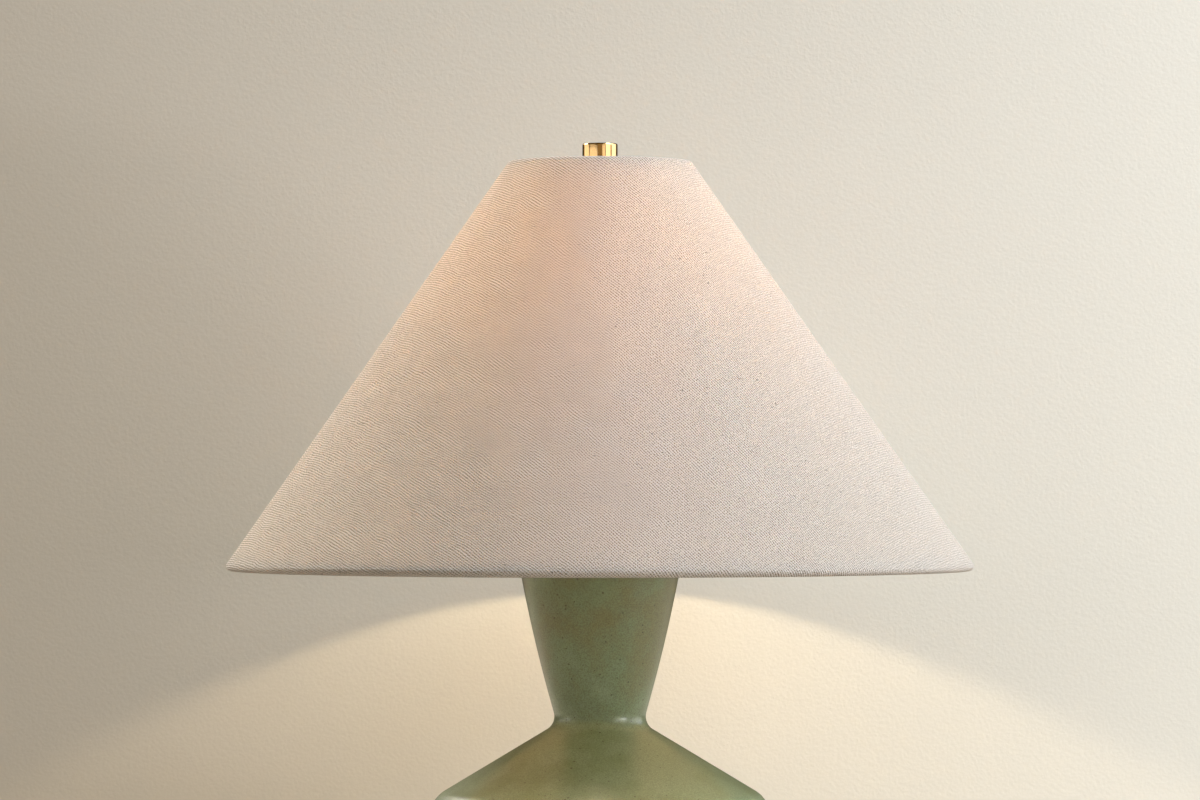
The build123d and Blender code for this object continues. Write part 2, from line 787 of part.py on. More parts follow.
with BuildPart() as bulb_insulator:
    with BuildSketch(Plane.XZ):
        with BuildLine():
            Polyline(
                (0, insulator_z),
                (bulb_tip_radius, insulator_z),
                (insulator_top_radius, bulb_cap_z),
                (0, bulb_cap_z),
                close=True,
            )
        make_face()
    revolve(axis=Axis.Z)

with BuildPart() as bulb_cap:
    with BuildSketch(Plane.XZ):
        with BuildLine():
            Polyline(
                (0, bulb_cap_z),
                (insulator_top_radius, bulb_cap_z),
                (bulb_cap_radius, bulb_cap_z + bulb_cap_shoulder),
                (bulb_cap_radius, bulb_cap_top_z),
                (bulb_cap_radius - bulb_cap_wall, bulb_cap_top_z),
                (bulb_cap_radius - bulb_cap_wall, bulb_cap_z + bulb_cap_shoulder),
                (insulator_top_radius, bulb_cap_z + bulb_cap_wall),
                (0, bulb_cap_z + bulb_cap_wall),
                close=True,
            )
        make_face()
    revolve(axis=Axis.Z)

with BuildPart() as bulb_housing:
    spigot_z = bulb_cap_z + bulb_cap_shoulder
    housing_foot = (bulb_cap_radius + housing_lip, bulb_cap_top_z)
    housing_rim = (housing_top_radius, globe_cut_z)
    with BuildSketch(Plane.XZ):
        with BuildLine():
            Line((0, spigot_z), (spigot_radius, spigot_z))
            Line((spigot_radius, spigot_z), (spigot_radius, bulb_cap_top_z))
            Line((spigot_radius, bulb_cap_top_z), housing_foot)
            SagittaArc(housing_foot, housing_rim, housing_bulge)
            Line(housing_rim, (0, globe_cut_z))
            Line((0, globe_cut_z), (0, spigot_z))
        make_face()
    revolve(axis=Axis.Z)
    with BuildSketch(Plane.XY.offset(globe_cut_z)):
        Circle(board_radius + slip_gap)
    extrude(amount=-board_thickness, mode=Mode.SUBTRACT)

with BuildPart() as led_board:
    with BuildSketch(Plane.XY.offset(globe_cut_z - board_thickness)):
        Circle(board_radius)
    extrude(amount=board_thickness)

with BuildPart() as led_chips:
    with BuildSketch(Plane.XY.offset(globe_cut_z)):
        with PolarLocations(led_ring_radius, led_count):
            Rectangle(led_size, led_size)
    extrude(amount=led_height)

with BuildPart() as bulb_globe:
    with BuildSketch(Plane.XZ):
        with Locations((0, globe_z)):
            Circle(globe_radius)
            Circle(globe_radius - globe_wall, mode=Mode.SUBTRACT)
        split(bisect_by=Plane.YZ)
        split(bisect_by=Plane.ZX.offset(globe_cut_z))
    revolve(axis=Axis.Z)

pieces = {
    "felt_pad": felt_pad,
    "ceramic_body": ceramic_body,
    "cord_bushing": cord_bushing,
    "base_plate": base_plate,
    "base_washer": base_washer,
    "base_nut": base_nut,
    "lamp_rod": lamp_rod,
    "cap_gasket": cap_gasket,
    "vase_cap": vase_cap,
    "check_ring": check_ring,
    "harp_saddle": harp_saddle,
    "harp_wire": harp_wire,
    "harp_hub": harp_hub,
    "harp_stud": harp_stud,
    "ferrule_left": ferrule_left,
    "ferrule_right": ferrule_right,
    "shade_cover": shade_cover,
    "shade_liner": shade_liner,
    "spider_frame": spider_frame,
    "bottom_ring": bottom_ring,
    "finial": finial,
    "socket_cap": socket_cap,
    "socket_shell": socket_shell,
    "socket_liner": socket_liner,
    "socket_core_base": socket_core_base,
    "socket_core": socket_core,
    "terminal_screws": terminal_screws,
    "screw_shell": screw_shell,
    "centre_contact": centre_contact,
    "switch_rotor": switch_rotor,
    "switch_shaft": switch_shaft,
    "switch_knob": switch_knob,
    "bulb_tip": bulb_tip,
    "bulb_insulator": bulb_insulator,
    "bulb_cap": bulb_cap,
    "bulb_housing": bulb_housing,
    "led_board": led_board,
    "led_chips": led_chips,
    "bulb_globe": bulb_globe,
}

os.makedirs("parts", exist_ok=True)
for name, piece in pieces.items():
    piece.part.label = name
    export_step(piece.part, f"parts/{name}.step")
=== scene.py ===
from functools import partial, reduce
from math import atan2, cos, pi, radians, sin

import bmesh
import bpy
import numpy as np
from bpy.props import FloatProperty, FloatVectorProperty, IntProperty, PointerProperty
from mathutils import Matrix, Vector


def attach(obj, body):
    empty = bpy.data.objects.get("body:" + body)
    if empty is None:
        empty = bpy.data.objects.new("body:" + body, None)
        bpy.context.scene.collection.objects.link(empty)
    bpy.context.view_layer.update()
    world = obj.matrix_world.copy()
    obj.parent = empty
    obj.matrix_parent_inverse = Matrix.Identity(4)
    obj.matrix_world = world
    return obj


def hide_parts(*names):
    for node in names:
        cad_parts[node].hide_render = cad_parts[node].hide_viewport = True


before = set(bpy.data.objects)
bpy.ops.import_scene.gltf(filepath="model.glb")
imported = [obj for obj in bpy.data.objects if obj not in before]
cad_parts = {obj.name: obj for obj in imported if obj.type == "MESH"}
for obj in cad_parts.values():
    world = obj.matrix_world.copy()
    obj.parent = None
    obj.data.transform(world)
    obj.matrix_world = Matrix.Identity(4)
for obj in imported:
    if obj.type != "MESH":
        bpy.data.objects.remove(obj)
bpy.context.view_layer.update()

bl_info = {
    "name": "Amphora table lamp",
    "version": (1, 0, 0),
    "blender": (4, 5, 0),
    "location": "3D View > Sidebar > Lamp",
    "description": "Dresses the packed lamp: glazed body, linen shade, brass and bulb",
    "category": "Object",
}

MM = 0.001


# Colour and node helpers


def srgb(code):
    """A hex colour such as 7f836a as linear RGBA."""
    channels = [int(code[i : i + 2], 16) / 255 for i in (0, 2, 4)]
    linear = [c / 12.92 if c <= 0.04045 else ((c + 0.055) / 1.055) ** 2.4 for c in channels]
    return (*linear, 1.0)


def grey(level):
    return (level, level, level, 1.0)


def darker(colour, share):
    """A colour with only a share of its light."""
    return (*(c * share for c in colour[:3]), 1.0)


def colour_property(name, description, code):
    settings = {"subtype": "COLOR", "size": 4, "min": 0, "max": 1, "default": srgb(code)}
    return FloatVectorProperty(name=name, description=description, **settings)


def length_property(name, description, millimetres):
    settings = {"unit": "LENGTH", "min": 0, "default": millimetres * MM, "precision": 5}
    return FloatProperty(name=name, description=description, **settings)


def share_property(name, description, share):
    return FloatProperty(name=name, description=description, subtype="FACTOR", default=share)


def add_node(tree, kind, inputs=None, **settings):
    """Adds a node with its settings, and fills or links its inputs."""
    node = tree.nodes.new(kind)
    for name, value in settings.items():
        setattr(node, name, value)
    for key, value in (inputs or {}).items():
        if isinstance(value, bpy.types.NodeSocket):
            tree.links.new(value, node.inputs[key])
        else:
            node.inputs[key].default_value = value
    return node


def new_material(name):
    """A material with only an output node in it."""
    material = bpy.data.materials.new(name)
    material.use_nodes = True
    material.node_tree.nodes.clear()
    return material, material.node_tree


def show(tree, shader):
    add_node(tree, "ShaderNodeOutputMaterial", {"Surface": shader})


def object_place(tree):
    return add_node(tree, "ShaderNodeTexCoord").outputs["Object"]


def parts_of(tree, vector):
    return add_node(tree, "ShaderNodeSeparateXYZ", {"Vector": vector}).outputs


def maths(tree, operation, *values):
    """One sum over numbers or sockets."""
    return add_node(tree, "ShaderNodeMath", dict(enumerate(values)), operation=operation).outputs[0]


def ranged(tree, value, start=0.0, stop=1.0, low=0.0, high=1.0):
    """A value carried from the range start to stop into the range low to high."""
    inputs = {"Value": value, "From Min": start, "From Max": stop, "To Min": low, "To Max": high}
    return add_node(tree, "ShaderNodeMapRange", inputs).outputs["Result"]


def noise(tree, place, scale, detail=2.0, roughness=0.5):
    """Clouds between 0 and 1."""
    inputs = {"Vector": place, "Scale": scale, "Detail": detail, "Roughness": roughness}
    return add_node(tree, "ShaderNodeTexNoise", inputs).outputs["Fac"]


def scaled(tree, place, scale):
    """A place stretched by one scale along each axis."""
    return add_node(tree, "ShaderNodeMapping", {"Vector": place, "Scale": scale}).outputs["Vector"]


def scattered(tree, place, scale):
    """Cells about scattered points: the distance from the point, and a chance for each cell."""
    cells = add_node(tree, "ShaderNodeTexVoronoi", {"Vector": place, "Scale": scale}).outputs
    chance = add_node(tree, "ShaderNodeSeparateColor", {"Color": cells["Color"]}).outputs["Red"]
    return cells["Distance"], chance


def ramp(tree, value, *stops):
    """A colour ramp over (position, colour) stops."""
    node = add_node(tree, "ShaderNodeValToRGB", {"Fac": value})
    while len(node.color_ramp.elements) < len(stops):
        node.color_ramp.elements.new(0.5)
    for element, (position, colour) in zip(node.color_ramp.elements, stops):
        element.position = position
        element.color = colour
    return node.outputs["Color"]


def mixed(tree, share, first, second, blend="MIX"):
    """Two colours in one, by a share of the second."""
    inputs = {"Factor": share, "A": first, "B": second}
    return add_node(tree, "ShaderNodeMix", inputs, data_type="RGBA", blend_type=blend).outputs["Result"]


def bumped(tree, height, strength, distance):
    """A normal that leans with a height, where the distance is in metres."""
    inputs = {"Height": height, "Strength": strength, "Distance": distance}
    return add_node(tree, "ShaderNodeBump", inputs).outputs["Normal"]


def spaced(values):
    """Keywords as names of sockets, with spaces for their underscores."""
    return {name.replace("_", " "): value for name, value in values.items()}


def surface(tree, kind="Principled", **inputs):
    return add_node(tree, "ShaderNodeBsdf" + kind, spaced(inputs)).outputs["BSDF"]


def blended(tree, share, first, second):
    """Two shaders in one, by a share of the second."""
    return add_node(tree, "ShaderNodeMixShader", {0: share, 1: first, 2: second}).outputs["Shader"]


# Materials, each named for what the real one is. Heights and bump distances are in metres


def glaze_material(s):
    """Satin reactive glaze on stoneware: a sage ground that breaks to brown, with painted shade up the neck,
    and iron specks.
    """
    material, tree = new_material("satin_reactive_glaze")
    place = object_place(tree)
    high = parts_of(tree, place)["Z"]
    clouds = noise(tree, place, 22.0, detail=5.0, roughness=0.6)
    # The glaze runs thin off the neck and breaks to brown there, which also darkens the neck as painted
    # shade under the shade; it lies thick and pale from the shoulder down
    shoulder, neck = 0.245, 0.30
    cover = maths(tree, "ADD", clouds, ranged(tree, high, shoulder, neck, 0.14, -0.07))
    ground = ramp(tree, cover, (0.36, s.glaze_brown_and_shade), (0.52, s.glaze_sage), (0.68, s.glaze_pale))
    # Fine mottling about 1.5 mm across, drawn a little coarser than the real glaze so that it shows
    mottle = noise(tree, place, 1100.0, roughness=0.6)
    mottled = mixed(tree, ramp(tree, mottle, (0.38, grey(0.40)), (0.60, grey(0.0))), ground, s.glaze_speck)
    # Iron specks up to 0.8 mm across
    distance, chance = scattered(tree, place, 520.0)
    reach = maths(tree, "ADD", distance, maths(tree, "POWER", chance, 0.5))
    speck = ramp(tree, reach, (0.34, grey(0.75)), (0.50, grey(0.0)))
    glazed = mixed(tree, speck, mottled, s.glaze_speck)
    # The unglazed foot shows the pale clay
    bare = ramp(tree, high, (0.0030, grey(1.0)), (0.0042, grey(0.0)))
    shader = surface(
        tree,
        Base_Color=mixed(tree, bare, glazed, s.clay),
        Roughness=ranged(tree, clouds, low=0.32, high=0.46),
        IOR=1.45,
        Coat_Weight=0.5,
        Coat_Roughness=0.10,
        Normal=bumped(tree, mottle, 0.25, 0.0002),
    )
    show(tree, shader)
    return material


def threads(tree, flat, width, length, turned=False):
    """Uneven threads: noise drawn out along one direction of the cloth, or across it when turned."""
    scale = (1 / length, 1 / width, 1) if turned else (1 / width, 1 / length, 1)
    return noise(tree, scaled(tree, flat, scale), 1.0)


def weave_height(tree, flat, s):
    """The cloth's height: warp and weft threads, the diagonals of the weave and a fine grain."""
    part = parts_of(tree, flat)
    across, along = part["X"], part["Y"]
    warp = threads(tree, flat, s.thread_pitch, 4 * s.thread_pitch)
    weft = threads(tree, flat, s.thread_pitch, 4 * s.thread_pitch, turned=True)
    both = maths(tree, "ADD", warp, weft)
    # The main diagonal drifts a little from side to side, and the other one is weaker
    turns = 2 * pi / s.twill_pitch
    drift = maths(tree, "MULTIPLY", noise(tree, flat, 45.0, detail=1.0), 14.0)
    wave = maths(tree, "SINE", maths(tree, "MULTIPLY_ADD", maths(tree, "ADD", across, along), turns, drift))
    cross = maths(tree, "SINE", maths(tree, "MULTIPLY", maths(tree, "SUBTRACT", across, along), turns))
    lines = maths(tree, "MULTIPLY_ADD", cross, 0.4, wave)
    twill = maths(tree, "MULTIPLY_ADD", lines, 0.38, both)
    return maths(tree, "MULTIPLY_ADD", noise(tree, flat, 1250.0, detail=1.0), 1.6, twill)


def linen_material(s):
    """Woven linen laminated over the liner: slubby threads with seed flecks; it passes lamplight."""
    material, tree = new_material("woven_linen")
    flat = add_node(tree, "ShaderNodeUVMap", uv_map="cloth").outputs["UV"]
    height = weave_height(tree, flat, s)
    tone = ranged(tree, height, 1.2, 2.4)
    # Low places of the weave take the shadow colour, as painted shade in the gaps between threads
    cloth = ramp(tree, tone, (0.12, s.linen_gap_shade), (0.42, s.linen), (0.75, s.linen_light))
    # Seed flecks in a few of the cells, and pale slubs 1.2 mm wide and 22 mm long
    distance, chance = scattered(tree, scaled(tree, flat, (1.0, 1.6, 1.0)), 300.0)
    rare = ramp(tree, chance, (0.970, grey(0.0)), (0.980, grey(1.0)))
    near = ramp(tree, distance, (0.14, grey(0.9)), (0.26, grey(0.0)))
    flecked = mixed(tree, maths(tree, "MULTIPLY", rare, near), cloth, s.fleck)
    slubs = threads(tree, flat, 1.2 * MM, 22 * MM, turned=True)
    slubbed = mixed(tree, ramp(tree, slubs, (0.70, grey(0.0)), (0.76, grey(0.55))), flecked, s.linen_light)
    normal = bumped(tree, height, 1.0, 0.0011)
    sheen = {"Sheen_Weight": 0.15, "Sheen_Roughness": 0.5}
    face = surface(tree, Base_Color=slubbed, Roughness=0.9, Normal=normal, **sheen)
    # The fibres filter the lamplight to a warm orange
    filtered = mixed(tree, 1.0, slubbed, s.linen_filter, blend="MULTIPLY")
    through = surface(tree, "Translucent", Color=filtered, Normal=normal)
    show(tree, blended(tree, s.linen_passes, face, through))
    return material


def adhesive_material():
    """The clear adhesive film between linen and liner, which hides nothing."""
    material, tree = new_material("clear_adhesive_film")
    show(tree, surface(tree, Base_Color=srgb("ffffff"), Roughness=0.5, Alpha=0.03))
    return material


def styrene_material(s):
    """White styrene sheet with a matt rolled face; it passes lamplight."""
    material, tree = new_material("styrene_sheet")
    place = object_place(tree)
    colour = ramp(tree, noise(tree, place, 30.0, detail=3.0), (0.35, s.styrene_shade), (0.65, s.styrene))
    normal = bumped(tree, noise(tree, place, 900.0), 0.15, 0.0002)
    face = surface(tree, Base_Color=colour, Roughness=0.45, IOR=1.55, Normal=normal)
    through = surface(tree, "Translucent", Color=srgb("fffaf2"))
    show(tree, blended(tree, s.styrene_passes, face, through))
    return material


def metal_material(name, colour, roughness, line_scale=(60.0, 60.0, 2400.0)):
    """A plain metal with fine tool lines and a slightly uneven surface."""
    material, tree = new_material(name)
    place = object_place(tree)
    lines = noise(tree, scaled(tree, place, line_scale), 1.0)
    wear = noise(tree, place, 120.0, detail=4.0)
    shader = surface(
        tree,
        Base_Color=ramp(tree, wear, (0.35, darker(colour, 0.88)), (0.62, colour)),
        Metallic=1.0,
        Roughness=ranged(tree, lines, low=roughness * 0.75, high=roughness * 1.25),
        Normal=bumped(tree, lines, 0.08, 0.0001),
    )
    show(tree, shader)
    return material


def moulded_material(name, colour, roughness, grain=900.0, depth=0.1, sheen=0.0):
    """A moulded, pressed or painted surface with a fine grain."""
    material, tree = new_material(name)
    grains = noise(tree, object_place(tree), grain, detail=3.0)
    shader = surface(
        tree,
        Base_Color=ramp(tree, grains, (0.35, darker(colour, 0.82)), (0.60, colour)),
        Roughness=roughness,
        IOR=1.5,
        Sheen_Weight=sheen,
        Normal=bumped(tree, grains, depth, 0.0003),
    )
    show(tree, shader)
    return material


def opal_material(s):
    """Opal glass lit from inside by the bulb's chips, a little weaker near the housing."""
    material, tree = new_material("lit_opal_glass")
    high = parts_of(tree, object_place(tree))["Z"]
    housing_top, full_glow = 0.493, 0.512
    lit = ranged(tree, high, housing_top, full_glow, s.glow_strength * 0.7, s.glow_strength)
    glow = {"Emission_Color": s.glow, "Emission_Strength": lit}
    show(tree, surface(tree, Base_Color=s.opal, Roughness=0.25, IOR=1.5, **glow))
    return material


# Shape helpers


def side_points(start, end, bow):
    """A straight side, or one bowed by a sagitta to the left of its run."""
    start, end = np.array(start, float), np.array(end, float)
    if not bow:
        return np.array([start, end])
    run = end - start
    half = np.linalg.norm(run) / 2
    radius = (half**2 + bow**2) / (2 * abs(bow))
    left = np.array([-run[1], run[0]]) / (2 * half)
    side = 1 if bow > 0 else -1
    centre = (start + end) / 2 - left * side * (radius - abs(bow))
    first = atan2(*(start - centre)[::-1])
    sweep = 2 * np.arcsin(half / radius) * -side
    angles = first + np.linspace(0, sweep, 25)
    return centre + radius * np.column_stack([np.cos(angles), np.sin(angles)])


def nearest(points, target):
    """The nearest point of a polyline, and how far along its list it lies."""
    a, b = points[:-1], points[1:]
    run = b - a
    share = np.clip(((target - a) * run).sum(1) / (run**2).sum(1), 0, 1)
    found = a + run * share[:, None]
    index = int(np.argmin(np.linalg.norm(found - target, axis=1)))
    return found[index], index + share[index]


def outline(corners, closed=False, arc_points=8):
    """Profile points in mm from (radius, height, rounding, bow of the side that follows)."""
    corners = [tuple(c) + (0,) * (4 - len(c)) for c in corners]
    count = len(corners)
    last = count if closed else count - 1
    sides = [side_points(corners[i][:2], corners[(i + 1) % count][:2], corners[i][3]) for i in range(last)]
    starts = [0.0] * last
    ends = [float(len(side) - 1) for side in sides]
    arcs = {}
    for i in range(count):
        rounding = corners[i][2]
        if not rounding or (not closed and i in (0, count - 1)):
            continue
        before, after = sides[i - 1], sides[i % last]
        corner = np.array(corners[i][:2], float)
        into = (corner - before[-2]) / np.linalg.norm(corner - before[-2])
        out = (after[1] - corner) / np.linalg.norm(after[1] - corner)
        middle = (out - into) / np.linalg.norm(out - into)
        half_turn = np.arccos(np.clip(into @ out, -1, 1)) / 2
        centre = corner + middle * rounding / cos(half_turn)
        for _ in range(12):
            touch_a, along_a = nearest(before, centre)
            touch_b, along_b = nearest(after, centre)
            away_a, away_b = centre - touch_a, centre - touch_b
            gap_a, gap_b = np.linalg.norm(away_a), np.linalg.norm(away_b)
            facing = np.array([away_a / gap_a, away_b / gap_b])
            centre = centre + np.linalg.solve(facing, [rounding - gap_a, rounding - gap_b])
        first = atan2(*(touch_a - centre)[::-1])
        turn = (atan2(*(touch_b - centre)[::-1]) - first + pi) % (2 * pi) - pi
        angles = first + np.linspace(0, turn, arc_points + 1)
        arcs[i] = centre + rounding * np.column_stack([np.cos(angles), np.sin(angles)])
        ends[i - 1] = along_a
        starts[i % last] = along_b
    points = []
    for i in range(last):
        points.extend(arcs.get(i, [sides[i][0]]))
        inner = [sides[i][k] for k in range(len(sides[i])) if starts[i] + 0.01 < k < ends[i] - 0.01]
        points.extend(inner)
    points.append(points[0] if closed else sides[-1][-1])
    return np.array(points)


def divided(profile, longest):
    """The profile with no run longer than a length in mm, so that the faces stay even."""
    points = []
    for a, b in zip(profile, profile[1:]):
        count = max(1, int(np.ceil(np.linalg.norm(b - a) / longest)))
        points.extend(a + (b - a) * k / count for k in range(count))
    return np.array(points + [profile[-1]])


def turning_tree():
    """Geometry Nodes that turn a profile about the axis, with an optional thread and flutes."""
    tree = bpy.data.node_groups.new("turned_form", "GeometryNodeTree")
    face = tree.interface
    face.new_socket("Geometry", in_out="INPUT", socket_type="NodeSocketGeometry")
    for name, kind, default in (
        ("Steps", "NodeSocketInt", 96),
        ("Thread Pitch", "NodeSocketFloat", 1.0),
        ("Thread Depth", "NodeSocketFloat", 0.0),
        ("Thread Start", "NodeSocketFloat", 0.0),
        ("Thread End", "NodeSocketFloat", 0.0),
        ("Flutes", "NodeSocketInt", 12),
        ("Flute Depth", "NodeSocketFloat", 0.0),
    ):
        face.new_socket(name, in_out="INPUT", socket_type=kind).default_value = default
    face.new_socket("Material", in_out="INPUT", socket_type="NodeSocketMaterial")
    face.new_socket("Geometry", in_out="OUTPUT", socket_type="NodeSocketGeometry")
    given = add_node(tree, "NodeGroupInput").outputs
    pitch, steps = given["Thread Pitch"], given["Steps"]
    calc = partial(maths, tree)
    # The product of a list of values
    times = partial(reduce, partial(calc, "MULTIPLY"))
    # A grid with one row of points for each profile point, which holds one point for each step of the turn
    profile = {"Geometry": given["Geometry"]}
    size = add_node(tree, "GeometryNodeAttributeDomainSize", profile, component="MESH")
    count, row = size.outputs["Point Count"], calc("ADD", steps, 1.0)
    grid = add_node(tree, "GeometryNodeMeshGrid", {"Vertices X": count, "Vertices Y": row}).outputs["Mesh"]
    index = add_node(tree, "GeometryNodeInputIndex").outputs["Index"]
    # The quarter keeps a whole number from being rounded down by one
    on_profile = calc("FLOOR", calc("DIVIDE", calc("ADD", index, 0.25), row))
    step = calc("FLOOR", calc("ADD", calc("SUBTRACT", index, times([on_profile, row])), 0.25))
    place = add_node(tree, "GeometryNodeInputPosition").outputs["Position"]
    sampled = {**profile, "Value": place, "Index": on_profile}
    point = add_node(tree, "GeometryNodeSampleIndex", sampled, data_type="FLOAT_VECTOR", domain="POINT")
    part = parts_of(tree, point.outputs["Value"])
    angle = times([step, calc("DIVIDE", 2 * pi, steps)])
    # The thread's ridge climbs one pitch in a turn, and fades out over half a pitch at both ends
    climb = calc("SUBTRACT", times([calc("DIVIDE", part["Z"], pitch), 2 * pi]), angle)
    ridge = times([calc("COSINE", climb), given["Thread Depth"], 0.5])
    fade = times([pitch, 0.5])
    start, end = given["Thread Start"], given["Thread End"]
    over_start = ranged(tree, part["Z"], start, calc("ADD", start, fade))
    under_end = ranged(tree, part["Z"], calc("SUBTRACT", end, fade), end, 1.0, 0.0)
    wave = calc("COSINE", times([angle, given["Flutes"]]))
    hollow = calc("POWER", calc("MAXIMUM", wave, 0.0), 2.0)
    # Points on the axis stay there
    rim = calc("GREATER_THAN", part["X"], 0.0005)
    # A point counts as fluted by its second coordinate, which the profile carries in mm
    fluted = times([hollow, given["Flute Depth"], part["Y"], 1 / MM, rim])
    radius = calc("SUBTRACT", calc("ADD", part["X"], times([ridge, over_start, under_end, rim])), fluted)
    turned = {"X": times([radius, calc("SINE", angle)]), "Z": part["Z"]}
    turned["Y"] = times([radius, calc("COSINE", angle), -1.0])
    target = add_node(tree, "ShaderNodeCombineXYZ", turned).outputs["Vector"]
    form = grid
    for kind, inputs in (
        ("SetPosition", {"Position": target}),
        ("MergeByDistance", {"Distance": 2e-6}),
        ("RealizeInstances", {}),
        ("SetMaterial", {"Material": given["Material"]}),
    ):
        form = add_node(tree, "GeometryNode" + kind, {"Geometry": form, **inputs}).outputs["Geometry"]
    add_node(tree, "NodeGroupOutput", {"Geometry": form})
    return tree


def smooth_mesh(mesh, sharp_angle):
    """Closes doubles, points the faces outwards and keeps real edges crisp."""
    form = bmesh.new()
    form.from_mesh(mesh)
    bmesh.ops.remove_doubles(form, verts=form.verts, dist=1e-6)
    bmesh.ops.dissolve_degenerate(form, edges=form.edges, dist=1e-7)
    bmesh.ops.recalc_face_normals(form, faces=form.faces)
    form.to_mesh(mesh)
    form.free()
    mesh.shade_smooth()
    mesh.set_sharp_from_angle(angle=radians(sharp_angle))


def mesh_from(form, name):
    """The mesh of a finished form, which is freed."""
    mesh = bpy.data.meshes.new(name)
    form.to_mesh(mesh)
    form.free()
    return mesh


def new_object(name, mesh):
    piece = bpy.data.objects.new(name, mesh)
    bpy.context.scene.collection.objects.link(piece)
    return piece


def applied(piece):
    """A new mesh of the piece as its modifiers shape it."""
    return bpy.data.meshes.new_from_object(piece.evaluated_get(bpy.context.evaluated_depsgraph_get()))


def turn(name, profile, material, sharp_angle=40, flute_marks=None, **inputs):
    """A piece turned about the lamp's axis from profile points in mm."""
    tree = bpy.data.node_groups.get("turned_form") or turning_tree()
    blank = bpy.data.meshes.new(name + "_profile")
    marks = np.zeros(len(profile)) if flute_marks is None else flute_marks
    points = np.column_stack([profile[:, 0], marks, profile[:, 1]]) * MM
    blank.from_pydata([tuple(p) for p in points], [], [])
    source = new_object(name + "_source", blank)
    modifier = source.modifiers.new("turned", "NODES")
    modifier.node_group = tree
    sockets = {item.name: item.identifier for item in tree.interface.items_tree if item.in_out == "INPUT"}
    for label, value in {"Material": material, **spaced(inputs)}.items():
        modifier[sockets[label]] = value
    mesh = applied(source)
    mesh.name = name
    source.modifiers.clear()
    bpy.data.objects.remove(source)
    smooth_mesh(mesh, sharp_angle)
    return new_object(name, mesh)


def cut(piece, cutter):
    """Takes the cutter's shape out of a piece and removes the cutter."""
    modifier = piece.modifiers.new("cut", "BOOLEAN")
    modifier.operation = "DIFFERENCE"
    modifier.solver = "EXACT"
    modifier.object = cutter
    mesh = applied(piece)
    piece.modifiers.clear()
    old = piece.data
    piece.data = mesh
    bpy.data.meshes.remove(old)
    bpy.data.objects.remove(cutter)


def rungs(radius, start, stop, step):
    """Profile points up one radius, close enough together to carry a thread."""
    return [(radius, height) for height in np.arange(start, stop, step)]


def thread_sizes(pitch, depth, start, end):
    """What turn needs for a thread, from sizes in mm."""
    sizes = {"Thread_Pitch": pitch, "Thread_Depth": depth, "Thread_Start": start, "Thread_End": end}
    return {name: size * MM for name, size in sizes.items()}


def seat(piece, body, node):
    """Puts a piece on its body, in its CAD node's place, and hides that node."""
    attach(piece, body)
    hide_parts(node)


def dress(material, *nodes):
    """Gives CAD nodes that stay as they are their material."""
    for name in nodes:
        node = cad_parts[name]
        if not node.material_slots:
            node.data.materials.append(material)
        for slot in node.material_slots:
            slot.material = material


# Sizes and colours


class GlazeSettings(bpy.types.PropertyGroup):
    wall: length_property("Wall", "Thickness of the body's wall", 6.5)
    glaze_sage: colour_property("Glaze", "Sage ground of the glaze", "758661")
    # The break colour also darkens the neck under the shade, as painted shade
    glaze_brown_and_shade: colour_property("Glaze break", "Where the glaze breaks to brown", "75784f")
    glaze_pale: colour_property("Glaze pool", "Where the glaze lies thick", "839575")
    glaze_speck: colour_property("Specks", "Iron specks in the glaze", "3d3826")
    clay: colour_property("Clay", "Bare clay of the foot", "c9b79c")


class ShadeSettings(bpy.types.PropertyGroup):
    thread_pitch: length_property("Thread width", "Width of a thread", 0.35)
    twill_pitch: length_property("Weave line", "Weave line to weave line, along a thread", 2.3)
    cover_thickness: length_property("Cover", "Thickness of the linen with its backing", 1.0)
    seam_width: length_property("Seam", "Width of the lap at the back", 10.0)
    linen: colour_property("Linen", "Main colour of the cloth", "f8f3e5")
    linen_gap_shade: colour_property("Linen shadow", "Gaps between threads", "9c8a6e")
    linen_light: colour_property("Linen light", "Thick pale threads", "ffffff")
    linen_filter: colour_property("Linen filter", "Colour of lamplight through the cloth", "ffc06a")
    fleck: colour_property("Flecks", "Seed flecks in the cloth", "6f5c44")
    styrene: colour_property("Liner", "Face of the liner", "f4f0e8")
    styrene_shade: colour_property("Liner shade", "Duller patches of the liner", "ebe5da")
    linen_passes: share_property("Linen passes", "Share of light that the cloth lets through", 0.25)
    styrene_passes: share_property("Liner passes", "Share of light that the liner lets through", 0.9)


class MetalSettings(bpy.types.PropertyGroup):
    brass: colour_property("Satin brass", "Finial, vase cap and check ring", "e2bb82")
    holder_brass: colour_property("Lampholder brass", "Cap and shell of the lampholder", "cfa564")
    steel: colour_property("Nickel", "Harp, its saddle, hub, ferrules and stud", "c9c4ba")
    zinc: colour_property("Zinc", "Rod, and the plate, washer and nut in the foot", "b9bcbc")
    finial_radius: length_property("Finial radius", "Radius of the finial", 12.0)


class BulbSettings(bpy.types.PropertyGroup):
    opal: colour_property("Opal glass", "Globe when unlit", "f7f3ea")
    glow: colour_property("Glow", "Colour of the lamplight", "ffe8c0")
    glow_strength: FloatProperty(
        name="Glow strength", description="Brightness of the lit globe", min=0, default=174.0
    )
    segments: IntProperty(name="Segments", description="Steps round globe and housing", min=24, default=96)


class StageSettings(bpy.types.PropertyGroup):
    floor: colour_property("Floor", "Colour of the floor", "9c9486")
    # The wall's two paint colours differ from left to right as painted shade and light
    wall_left_painted_shade: colour_property("Wall left", "Paint of the wall at its left", "b9b1a4")
    wall_right_painted_light: colour_property("Wall right", "Paint of the wall at its right", "e0dcd2")
    room_left: colour_property("Room light left", "Light on the wall at its left", "4d4b47")
    room_right: colour_property("Room light right", "Light on the wall at its right", "51565a")
    wall_distance: length_property("Wall", "The wall behind the lamp's axis", 285.0)
    air: colour_property("Fill", "Soft light from all round", "5d5341")
    lens: FloatProperty(name="Lens", description="Focal length of the camera", unit="CAMERA", default=155.3)


# Operators, one for each piece or group of like pieces


